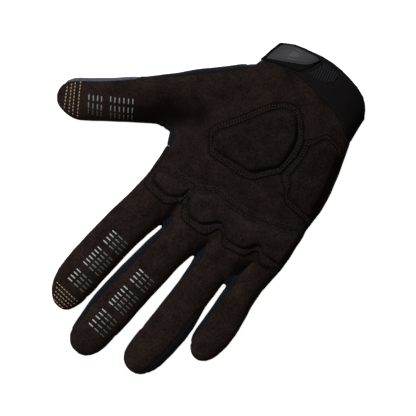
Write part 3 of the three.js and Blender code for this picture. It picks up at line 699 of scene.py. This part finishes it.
# For each: its two lines, the crown's height, and the distance over which it runs out to the zigzag line.
PATCHES = {
    "thenar_pad": (THENAR, THENAR_CROWN, 3, None),
    "heel_pad": (HEEL, HEEL_CROWN, 2.8, None),
    "knuckle_pad": (KNUCKLE, KNUCKLE_CROWN, 2.8, 9),
    "index_pad": (INDEX, INDEX_CROWN, 1.7, 5),
}
PATCH_FOOT = 7
SUNK = -0.2  # how far a layer's underside lies over the form
CROWN_EDGE = 5  # how far in a crown reaches its height
FLANGE, FLANGE_EDGE, FLANGE_BASE, FLANGE_FADED, FLANGE_FADE = 0.55, 0.6, 0.06, 0.16, 3
VALLEY, VALLEY_WIDTH = 0.42, 0.75
RIPPLE, RIPPLE_EDGE = 0.12, 3  # the waves of a crown, and how far in they are at full depth
MARGIN = 5  # round a layer's outline, while it is made


# A layer that lies on the form from low over it up to what heights gives for places seen from above.
def layer(name, outline, low, heights, foot, smoothing=2):
    spread = offset(outline, MARGIN)
    (left, front), (right, back) = spread.min(axis=0), spread.max(axis=0)
    region = prism([(left, front), (right, front), (right, back), (left, back)], foot - MARGIN, SKY)
    base = copy_of(form, "base")
    cut(base, region, "INTERSECT")
    pick(base)
    with editing():
        bpy.ops.mesh.subdivide(number_cuts=1)
    apply_modifier(base, "SMOOTH", factor=0.5, iterations=smoothing)
    points, normals = points_of(base), normals_of(base)
    top = copy_of(base, name)
    move_points(top, points + normals * heights(points[:, :2])[:, None])
    move_points(base, points + normals * low)
    cut(top, base)
    edge = prism(outline, foot, SKY)
    cut(top, edge, "INTERSECT")
    drop(region, base, edge)
    return without_crumbs(top)


# How high a stitched patch stands: a thin flange, a valley of stitches and the crown of the padding.
def patch_heights(outline, crown, tall, fade):
    outline, crown = rounded(outline), rounded(crown)

    def heights(spots):
        into = depth_in(outline, spots)
        over = depth_in(crown, spots)
        rise = np.sqrt(1 - (1 - np.clip(over / CROWN_EDGE, 0, 1)) ** 2)
        x, y = spots.T
        waves = RIPPLE * np.sin(x / 2.6 + 1.5 * np.sin(y / 4.1)) * np.sin(y / 3.3 + 1.2 * np.sin(x / 5.2))
        crowned = tall * rise + waves * smoothstep(over / RIPPLE_EDGE)
        valley = VALLEY * bell(over, VALLEY_WIDTH)
        flange = FLANGE * np.sqrt(1 - (1 - np.clip(into / FLANGE_EDGE, 0, 1)) ** 2) + FLANGE_BASE
        if fade:
            away = distance_to(ZIGZAG_CURVE, spots, closed=False)
            share = smoothstep(away / fade)
            crowned *= share
            valley *= share
            flange = FLANGE_FADED + (flange - FLANGE_FADED) * smoothstep(away / FLANGE_FADE)
        return flange + crowned - valley

    return heights


def make_patches():
    patches = {}
    for name, (outline, crown, tall, fade) in PATCHES.items():
        heights = patch_heights(outline, crown, tall, fade)
        patches[name] = layer(name, rounded(outline), SUNK, heights, PATCH_FOOT)
    return patches


# The closure at the cuff's thumb side: the strap's end and, over it, the moulded pull tab.
STRAP = seen_at(CUFF_TOP, [
    (8.6, -88.3), (20, -87.4), (27, -84.8), (31.5, -82), (34, -80.4), (42, -79), (42, -64.6),
    (34.6, -64.8), (30, -67.4), (22, -71), (15.5, -73), (13, -75.5), (10.5, -81),
])
TAB = seen_at(CUFF_TOP, [
    (10.2, -87.3), (13, -87.5), (19.4, -85.8), (24, -84.5), (28.3, -82.7), (31, -80.9), (32.4, -79.3),
    (33.4, -76.5), (33.9, -72.5), (34.2, -68.5), (33.4, -67.4), (32, -68.4), (28, -70.8), (24, -73.3),
    (18, -77.1), (14, -80), (12.3, -82), (10.5, -85.6),
])
LOOP_PATCH = seen_at(CUFF_TOP, [
    (-5.4, -88.6), (0, -89.4), (6, -89), (6.8, -84.4), (8.1, -80), (9.6, -77.3), (4.5, -77.5), (-2, -79.8),
    (-5.4, -83.5),
])
# How high each stands at its edge, how much more inside it, and over which width it gets there.
STRAP_EDGE, STRAP_MORE, STRAP_BEVEL = 0.25, 0.55, 0.7
TAB_EDGE, TAB_MORE, TAB_BEVEL = 0.6, 0.6, 1.8
LOOP_EDGE, LOOP_MORE, LOOP_BEVEL = 0.3, 0.35, 0.6
TAB_RISE = 0.9  # from the glove up to the tab's underside
GROOVE, GROOVE_INSET, GROOVE_WIDTH = 0.2, 2, 0.5
RIB, RIB_PITCH = 0.2, 1.5
RIB_ACROSS = (0.94, 0.34)
CLOSURE_FOOT, LOOP_FOOT = 8, 14


def strap_heights(spots):
    return STRAP_EDGE + STRAP_MORE * smoothstep(depth_in(STRAP, spots) / STRAP_BEVEL)


# A plate with a bevelled edge and a fine groove inside it.
def tab_heights(spots):
    into = depth_in(rounded(TAB), spots)
    bevel = TAB_MORE * smoothstep(into / TAB_BEVEL)
    groove = GROOVE * bell(into - GROOVE_INSET, GROOVE_WIDTH)
    return TAB_RISE + TAB_EDGE + bevel - groove


def loop_heights(spots):
    across = spots[:, 0] * RIB_ACROSS[0] + spots[:, 1] * RIB_ACROSS[1]
    ribs = 0.5 + 0.5 * np.sin(across * 2 * math.pi / RIB_PITCH)
    return LOOP_EDGE + LOOP_MORE * smoothstep(depth_in(LOOP_PATCH, spots) / LOOP_BEVEL) + RIB * ribs


# Small pieces laid on the glove: a copy of the pattern at each (x, y, angle), sunk this far into the surface.
def lay_copies(name, pattern, spots, onto, sink):
    copies = []
    for x, y, angle in spots:
        origin = Vector((x * MM, y * MM, SKY * MM))
        hits = [tree.ray_cast(origin, Vector((0, 0, -1))) for tree in onto]
        hits = [hit for hit in hits if hit[0] is not None]
        if not hits:
            continue
        place, normal, _, _ = max(hits, key=lambda hit: hit[0].z)
        along = Vector((math.cos(angle), math.sin(angle), 0))
        along = (along - normal * along.dot(normal)).normalized()
        turn = Matrix((along, normal.cross(along), normal)).transposed().to_4x4()
        twin = copy_of(pattern, name)
        twin.data.transform(Matrix.Translation(place - normal * sink * MM) @ turn)
        copies.append(twin)
    deselect()
    for twin in copies:
        twin.select_set(True)
    bpy.context.view_layer.objects.active = copies[0]
    bpy.ops.object.join()
    piece = bpy.context.object
    piece.name = name
    drop(pattern)
    bpy.ops.object.shade_smooth_by_angle(angle=SMALL_ANGLE)
    return piece


def stitch_pattern(long, wide, tall):
    deselect()
    bpy.ops.mesh.primitive_uv_sphere_add(
        segments=6, ring_count=4, radius=1, rotation=(0, math.pi / 2, 0)
    )
    pattern = bpy.context.object
    bpy.ops.transform.resize(value=(long * MM / 2, wide * MM / 2, tall * MM / 2))
    pick(pattern)
    bpy.ops.object.transform_apply()
    return pattern


def dash_pattern(long, wide, tall):
    deselect()
    bpy.ops.mesh.primitive_cube_add(size=1)
    pattern = bpy.context.object
    pattern.scale = (long * MM, wide * MM, tall * MM)
    pick(pattern)
    bpy.ops.object.transform_apply()
    with editing():
        bpy.ops.mesh.bevel(offset=0.3 * tall * MM, segments=2, affect="EDGES")
    return pattern


# Places a pitch apart along a line, with its direction there.
def steps_along(line, pitch, closed=False):
    line = np.array(line, float)
    if closed:
        line = np.vstack([line, line[:1]])
    lengths = np.linalg.norm(np.diff(line, axis=0), axis=1)
    marks = np.concatenate([[0], np.cumsum(lengths)])
    spots = []
    for mark in np.arange(pitch / 2, marks[-1], pitch):
        i = min(np.searchsorted(marks, mark) - 1, len(lengths) - 1)
        step = (line[i + 1] - line[i]) / lengths[i]
        spots.append((*(line[i] + step * (mark - marks[i])), math.atan2(step[1], step[0])))
    return spots


# Seeded, so that each run sews the same glove.
sewing = np.random.default_rng(5)
SLIP = (0.13, 0.13, 0.2)  # how far off a stitch is: in X, in Y and in its turn


# A row of zigzag stitches. Each leans the other way from the one before, and none is quite in place.
def zigzag(line, pitch, lean=0.6, closed=False):
    row = []
    for i, (x, y, angle) in enumerate(steps_along(line, pitch, closed)):
        slip_x, slip_y, turn = sewing.normal(0, SLIP)
        row.append((x + slip_x, y + slip_y, angle + turn + (lean if i % 2 else -lean)))
    return row


panels = make_panels()
roll_seams(panels)
patches = make_patches()
closure = {
    "closure_strap": layer("closure_strap", STRAP, SUNK, strap_heights, CLOSURE_FOOT),
    "pull_tab": layer("pull_tab", rounded(TAB, 3), TAB_RISE, tab_heights, CLOSURE_FOOT, smoothing=14),
    "loop_patch": layer("loop_patch", LOOP_PATCH, SUNK, loop_heights, LOOP_FOOT),
}
pieces = {**panels, **patches, **closure}
for piece in pieces.values():
    finish_cut(piece)

# Stitches. The patches carry two rows round their flanges, and the palm two along the zigzag line.
FLANGE_ROWS = (1.15, 2.55)
LINE_ROWS = (0.3, 2.4)
TO_WRIST = np.array([0.28, -0.96])
STITCH_PITCH = 1.75
CROWN_CLEAR, LINE_CLEAR = 0.7, 3.2
stitch_lines = []
for outline, crown, tall, fade in PATCHES.values():
    for inset in FLANGE_ROWS:
        row = zigzag(offset(rounded(outline), -inset), STITCH_PITCH, closed=True)
        spots = np.array([(x, y) for x, y, _ in row])
        clear = depth_in(rounded(crown), spots) < -CROWN_CLEAR
        if fade:
            clear &= distance_to(ZIGZAG_CURVE, spots, closed=False) > LINE_CLEAR
        stitch_lines += [place for place, is_clear in zip(row, clear) if is_clear]
for away in LINE_ROWS:
    stitch_lines += zigzag(ZIGZAG_CURVE + TO_WRIST * away, STITCH_PITCH)

# Single rows: along the hem and the cuff's seam, and tan thread that carries a touch through the fingertips.
HEM_PITCH, TIP_PITCH = 2.1, 2
FROM_HEM, FROM_SEAM = np.array([0, 1.6]), np.array([0, -1.3])
hem_row = steps_along(rounded(HEM[1:-1], closed=False) + FROM_HEM, HEM_PITCH)
hem_row += steps_along(rounded(CUFF_SEAM[2:-1], closed=False) + FROM_SEAM, HEM_PITCH)
TIP_ROWS = [
    ((20.6, 126.2), (28.6, 126.2)), ((18.8, 124), (30.4, 124)), ((17.4, 121.9), (32.2, 121.9)),
    ((16.8, 119.8), (33.8, 119.8)), ((16.6, 117.4), (35.8, 117.4)), ((92.6, 36.8), (106, 19.4)),
    ((95.6, 37.8), (108, 22)), ((98.2, 38.3), (109.4, 23.6)), ((101.9, 38.5), (110.4, 26.2)),
]
tip_row = [spot for row in TIP_ROWS for spot in steps_along(seen_at(TIP_TOP, row), TIP_PITCH)]

# Grip dashes of silicone. A finger's are given by its columns and rows. The thumb's are given by the first
# and last place of each row, between which the columns lie at these shares.
DASHES = {
    "middle": (
        [-7.3, -2.8, 1.7],
        [122, 119, 116, 113.2, 110.5, 104.5, 102, 99.5, 97, 94.3, 91.7, 86, 83.3, 80.6, 78],
    ),
    "index": (
        [19.9, 24.5, 29.3],
        [110.8, 108.3, 105.8, 103.4, 97.5, 95, 92.6, 90.2, 87.7, 85.2, 80, 77.3, 74.6, 72],
    ),
}
THUMB_DASHES = [
    ((91, 29.5), (96.3, 23.3)), ((88.7, 28.2), (94, 21.9)), ((86.3, 26.8), (92, 20.3)),
    ((84.3, 25.6), (90, 19)), ((79.7, 22), (86, 15.3)), ((77.6, 20.6), (83.8, 13.9)),
    ((75.4, 19), (81.6, 12.3)), ((73.4, 17.5), (79.5, 10.6)), ((71.4, 15.9), (77.3, 9)),
    ((69.6, 14.3), (75.3, 7.3)),
]
THUMB_COLUMNS = (0, 0.45, 1.03)
THUMB_SHIFT = 0.75
THUMB_TURN = math.radians(-48)
# How much painted shade the silicone of each column gets, darker where the column faces away from the light:
# the middle finger's, the index finger's, the thumb's.
DASH_PAINTED_SHADE = (0.9, 0.7, 0, 0.9, 0.7, 0.05, 1, 0.75, 0.6)
dash_columns = []
for columns, rows in DASHES.values():
    for x in columns:
        dash_columns.append([(*spot, 0) for spot in seen_at(DASH_TOP, [(x, y) for y in rows])])
for share in THUMB_COLUMNS:
    spots = [
        (x0 + (x1 - x0) * share - THUMB_SHIFT, y0 + (y1 - y0) * share)
        for (x0, y0), (x1, y1) in THUMB_DASHES
    ]
    dash_columns.append([(*spot, THUMB_TURN) for spot in seen_at(DASH_TOP, spots)])
dashes = [spot for column in dash_columns for spot in column]

graph = bpy.context.evaluated_depsgraph_get()
cloth_trees = [BVHTree.FromObject(piece, graph) for piece in [panels["palm_panel"], *patches.values()]]
cuff_trees = [BVHTree.FromObject(panels["cuff"], graph)]
# A pattern's sizes are its length, its width and its height.
stitches = lay_copies("patch_stitches", stitch_pattern(1.25, 0.55, 0.4), stitch_lines, cloth_trees, 0.02)
hem_stitches = lay_copies("hem_stitches", stitch_pattern(1.3, 0.4, 0.3), hem_row, cuff_trees, 0.02)
tip_stitches = lay_copies("tip_stitches", stitch_pattern(1.45, 0.66, 0.5), tip_row, cloth_trees, 0)
grip_dashes = lay_copies("grip_dashes", dash_pattern(3.3, 0.75, 0.55), dashes, cloth_trees, -0.08)


# Materials. A colour is given as it looks on a screen, from 0 to 255.
def linear(red, green, blue):
    shares = [value / 255 for value in (red, green, blue)]
    return [*(v / 12.92 if v <= 0.04045 else ((v + 0.055) / 1.055) ** 2.4 for v in shares), 1]


# A material in the making: what paints and embosses it is built from nodes with these.
class Finish:
    def __init__(self, name, colour, roughness, shine, more=()):
        self.material = bpy.data.materials.new(name)
        self.material.use_nodes = True
        self.nodes = self.material.node_tree.nodes
        self.links = self.material.node_tree.links
        self.shader = self.nodes["Principled BSDF"]
        values = {"Base Color": linear(*colour), "Roughness": roughness, "Specular IOR Level": shine}
        for key, value in {**values, **dict(more)}.items():
            self.shader.inputs[key].default_value = value
        self.place = self.nodes.new("ShaderNodeTexCoord").outputs["Object"]

    def node(self, kind, inputs=(), **settings):
        node = self.nodes.new(kind)
        for key, value in settings.items():
            setattr(node, key, value)
        for key, value in dict(inputs).items():
            if isinstance(value, bpy.types.NodeSocket):
                self.links.new(value, node.inputs[key])
            else:
                node.inputs[key].default_value = value
        return node

    def calc(self, operation, *values):
        return self.node("ShaderNodeMath", enumerate(values), operation=operation).outputs["Value"]

    def noise(self, size, detail=4, rough=0.6):
        return self.node("ShaderNodeTexNoise", {
            "Vector": self.place, "Scale": 1 / (size * MM), "Detail": detail, "Roughness": rough,
        }).outputs["Fac"]

    # Threads side by side, size apart, along a direction given as where it points.
    def threads(self, size, direction, wobble=0):
        along = self.node("ShaderNodeVectorMath", {0: self.place, 1: direction}, operation="DOT_PRODUCT")
        phase = self.calc("MULTIPLY", along.outputs["Value"], 2 * math.pi / (size * MM))
        if wobble:
            phase = self.calc("ADD", phase, self.calc("MULTIPLY", self.noise(size * 3), wobble))
        return self.calc("MULTIPLY_ADD", self.calc("SINE", phase), 0.5, 0.5)

    # A mix node has sockets for all kinds of data. 0 is its factor, 6 and 7 are colours, and 2 is their mix.
    def mix(self, factor, first, second, **settings):
        inputs = {0: factor, 6: first, 7: second}
        return self.node("ShaderNodeMix", inputs, data_type="RGBA", **settings).outputs[2]

    # Goes from one colour to the other as the share goes from low to high.
    def tint(self, share, low, high, first, second):
        ramp = self.node("ShaderNodeMapRange", {"Value": share, "From Min": low, "From Max": high})
        return self.mix(ramp.outputs["Result"], first, second, clamp_factor=True)

    # Goes from one colour to the other where shade is painted on the piece.
    def with_painted_shade(self, first, second):
        shade = self.node("ShaderNodeAttribute", attribute_name="shade").outputs["Fac"]
        return self.tint(shade, 0, 1, first, second)

    def paint(self, colour):
        self.links.new(colour, self.shader.inputs["Base Color"])

    # A bump of this depth, over what the surface already has under it.
    def emboss(self, height, depth, strength=1.0, under=None):
        inputs = {"Height": height, "Distance": depth * MM, "Strength": strength}
        if under is not None:
            inputs["Normal"] = under
        return self.node("ShaderNodeBump", inputs).outputs["Normal"]

    def shape(self, normal):
        self.links.new(normal, self.shader.inputs["Normal"])


# The near-black colour of the painted shade on the suede.
PAINTED_SHADE = (9, 5, 5)


def suede(name, dark, light):
    sheen = {"Sheen Weight": 0.25, "Sheen Roughness": 0.55, "Sheen Tint": linear(150, 125, 110)}
    finish = Finish(name, light, 0.95, 0.06, sheen)
    broad, fine, nap = finish.noise(9, 3), finish.noise(1.3, 4, 0.7), finish.noise(0.35, 2, 0.7)
    tone = finish.tint(broad, 0.3, 0.72, linear(*dark), linear(*light))
    speckle = finish.tint(fine, 0.34, 0.74, (0.45, 0.43, 0.43, 1), (1.7, 1.64, 1.6, 1))
    # The suede's tone, darkened by painted shade where the shade attribute says.
    finish.paint(finish.with_painted_shade(finish.mix(1, tone, speckle, blend_type="MULTIPLY"), linear(*PAINTED_SHADE)))
    finish.shape(finish.emboss(nap, 0.1, 0.7, finish.emboss(fine, 0.35, 0.5)))
    return finish.material


# Cloth that goes from dark to light as its pattern goes from low to high, and is embossed with the pattern.
def cloth(finish, pattern, low, high, dark, light, depth, strength):
    finish.paint(finish.tint(pattern, low, high, linear(*dark), linear(*light)))
    finish.shape(finish.emboss(pattern, depth, strength))
    return finish.material


def ribbed(name, dark, light, size, direction, depth):
    finish = Finish(name, light, 0.85, 0.12, {"Sheen Weight": 0.1})
    return cloth(finish, finish.threads(size, direction, 0.6), 0.1, 0.8, dark, light, depth, 0.8)


def knit_cloth(name, dark, light):
    finish = Finish(name, light, 0.9, 0.1, {"Sheen Weight": 0.15})
    loops = finish.calc("MULTIPLY", finish.threads(1.1, (1, 0.15, 0)), finish.threads(0.9, (-0.15, 1, 0.3)))
    return cloth(finish, loops, 0, 0.8, dark, light, 0.2, 0.7)


def terry_cloth(name, dark, light):
    finish = Finish(name, light, 1, 0.05, {"Sheen Weight": 0.4})
    return cloth(finish, finish.noise(0.7, 3, 0.7), 0.3, 0.7, dark, light, 0.6, 1)


def foam_cloth(name, dark, light):
    finish = Finish(name, light, 0.8, 0.15)
    return cloth(finish, finish.noise(0.5, 3, 0.6), 0.3, 0.75, dark, light, 0.12, 0.6)


# Moulded plastic or thread. Given a shaded colour, it gets painted shade where the shade attribute says.
def moulded(name, colour, roughness, shine, coat=0.0, shaded_colour=None):
    finish = Finish(name, colour, roughness, shine, {"Coat Weight": coat, "Coat Roughness": 0.12})
    if shaded_colour:
        finish.paint(finish.with_painted_shade(linear(*colour), linear(*shaded_colour)))
    finish.shape(finish.emboss(finish.noise(2.5, 2), 0.05, 0.3))
    return finish.material


SUEDE_CLOTH = suede("suede", (32, 25, 23), (53, 43, 39))
# Copies of the suede with painted light: a darker one for painted shade on the thenar and heel pads, and a
# lighter one for the knuckle and index pads.
SHADED_SUEDE_CLOTH = suede("shaded_padded_suede", (27, 21, 20), (43, 35, 32))
LIT_SUEDE_CLOTH = suede("lit_knuckle_suede", (33, 27, 26), (52, 43, 41))
STRIP_RIB = ribbed("strip_rib", (11, 12, 16), (28, 31, 40), 0.9, (0.7, 0.7, 0.6), 0.2)
# The slot and the material of each piece.
LOOKS = {
    "palm_panel": ("suede", SUEDE_CLOTH),
    "thenar_pad": ("suede", SHADED_SUEDE_CLOTH),
    "heel_pad": ("suede", SHADED_SUEDE_CLOTH),
    "knuckle_pad": ("suede", LIT_SUEDE_CLOTH),
    "index_pad": ("suede", LIT_SUEDE_CLOTH),
    "back_panel": ("knit", knit_cloth("back_knit", (12, 14, 19), (30, 34, 42))),
    **dict.fromkeys(STRIPS, ("strip", STRIP_RIB)),
    "thumb_web": ("strip", ribbed("web_rib", (12, 12, 17), (28, 29, 38), 0.9, (0.7, 0.7, 0.3), 0.2)),
    "thumb_wipe": ("terry", terry_cloth("terry", (64, 64, 88), (120, 120, 150))),
    "cuff": ("cuff", foam_cloth("cuff_foam", (15, 12, 13), (24, 20, 22))),
    "wrist_gore": ("gore", ribbed("gore_rib", (66, 64, 88), (104, 102, 132), 0.8, (0.6, 0.8, 0), 0.15)),
    "closure_strap": ("hook", foam_cloth("strap", (7, 7, 9), (15, 14, 17))),
    "loop_patch": ("hook", ribbed("patch_rib", (8, 8, 9), (44, 42, 46), RIB_PITCH, (*RIB_ACROSS, 0), 0.1)),
    "pull_tab": ("rubber", moulded("tab_rubber", (66, 65, 70), 0.62, 0.25, 0.03)),
}
THREAD = moulded("dark_thread", (52, 48, 47), 0.6, 0.25)
HEM_THREAD = moulded("hem_thread", (38, 37, 39), 0.7, 0.2)
TAN_THREAD = moulded("tan_thread", (214, 186, 150), 0.55, 0.3)
# The silicone dashes get painted shade towards the grey of their shaded colour.
SILICONE = moulded("silicone", (218, 222, 216), 0.4, 0.4, 0.1, (80, 84, 81))


# How dark the painted shade is, from 0 to 1: in crotches and at edges, along stitches, and in the hollow of
# the hand.
DARKEST, EDGE_DARK, ROW_DARK, HOLLOW_DARK = 0.95, 0.9, 0.5, 0.22


# Writes how much painted shade each place of a piece gets.
def paint_shade(piece, shade):
    attribute = piece.data.attributes.new("shade", "FLOAT", "POINT")
    attribute.data.foreach_set("value", np.clip(shade(points_of(piece)), 0, 1).astype(np.float32))


# A patch gets painted shade in the valley round its crown and along its rows of stitches, and a dark line
# along its edge that is partly its dark cut edge and partly painted shade.
def patch_shade(outline, crown, fade):
    def shade(points):
        spots = points[:, :2]
        into = depth_in(outline, spots)
        valley = DARKEST * bell(depth_in(crown, spots) - 0.1, 0.95)
        lip = DARKEST * bell(into, 0.4)
        for inset in FLANGE_ROWS:
            lip = np.maximum(lip, ROW_DARK * bell(into - inset, 0.5))
        if fade:
            valley *= smoothstep(distance_to(ZIGZAG_CURVE, spots, closed=False) / fade)
        return np.maximum(valley, lip)

    return shade


# The line along which shade is painted in the thumb's crotch.
THUMB_FOLD = [(41, -13), (48, -7), (58, 4), (69, 13)]
PALM_LEVEL = 12  # what lies higher is on the palm's side
HOLLOW_END, HOLLOW_FADE = (54, 34), (10, 12)


# The palm gets painted shade round its patches, in the thumb's crotch and in the hollow of the hand.
def palm_shade(points):
    spots = points[:, :2]
    away = np.full(len(points), FAR)
    for outline, *_ in PATCHES.values():
        away = np.minimum(away, distance_to(rounded(outline, 3), spots))
    edge = EDGE_DARK * bell(away, 0.7) * (points[:, 2] > PALM_LEVEL)
    x, y = spots.T
    crotch = DARKEST * bell(distance_to(THUMB_FOLD, spots, closed=False), 8)
    (end_x, end_y), (fade_x, fade_y) = HOLLOW_END, HOLLOW_FADE
    hollow = HOLLOW_DARK * smoothstep((end_y - y) / fade_y) * smoothstep((end_x - x) / fade_x)
    return np.maximum(edge, np.maximum(crotch, hollow))


# A dash gets the painted shade of its column.
def dash_shade(points):
    nearest = np.full(len(points), FAR)
    shade = np.zeros(len(points))
    for column, column_shade in zip(dash_columns, DASH_PAINTED_SHADE):
        away = distance_to([(x, y) for x, y, _ in column], points[:, :2], closed=False)
        shade = np.where(away < nearest, column_shade, shade)
        nearest = np.minimum(nearest, away)
    return shade


for name, (outline, crown, tall, fade) in PATCHES.items():
    paint_shade(patches[name], patch_shade(rounded(outline), rounded(crown), fade))
paint_shade(panels["palm_panel"], palm_shade)
paint_shade(grip_dashes, dash_shade)


def dress(piece, slot, material):
    piece.data.materials.clear()
    piece.data.materials.append(material)
    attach(piece, "root")


for name, piece in pieces.items():
    piece.name = f"{name}_cloth"
    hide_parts(name)
    dress(piece, *LOOKS[name])
dress(stitches, "suede", THREAD)
dress(hem_stitches, "cuff", HEM_THREAD)
dress(tip_stitches, "suede", TAN_THREAD)
dress(grip_dashes, "rubber", SILICONE)
drop(form)

# The white table, and soft studio light.
deselect()
bpy.ops.mesh.primitive_plane_add(size=4, location=(0, 0, -0.2 * MM))
table = bpy.context.object
table.name = "table"
glow = {"Emission Color": (1, 1, 1, 1), "Emission Strength": 0.93}
table.data.materials.append(Finish("white_table", (245, 245, 246), 0.9, 0.1, glow).material)
table.visible_diffuse = False
table.visible_glossy = False


# A square area light in metres and watts, which faces the origin.
def softbox(name, place, size, energy):
    bpy.ops.object.light_add(type="AREA", location=place)
    light = bpy.context.object
    light.name = name
    light.data.size = size
    light.data.energy = energy
    light.rotation_euler = Vector(place).to_track_quat("Z", "Y").to_euler()


softbox("key_softbox", (1.05, -0.2, 1.2), 0.5, 14)
softbox("fill_softbox", (0.1, 0.2, 1.8), 1.0, 3)
world = bpy.data.worlds.new("studio")
bpy.context.scene.world = world
world.use_nodes = True
background = world.node_tree.nodes["Background"]
background.inputs["Color"].default_value = (1, 1, 1, 1)
background.inputs["Strength"].default_value = 0.06
bpy.context.scene.view_settings.view_transform = "Standard"
bpy.context.scene.view_settings.exposure = 0
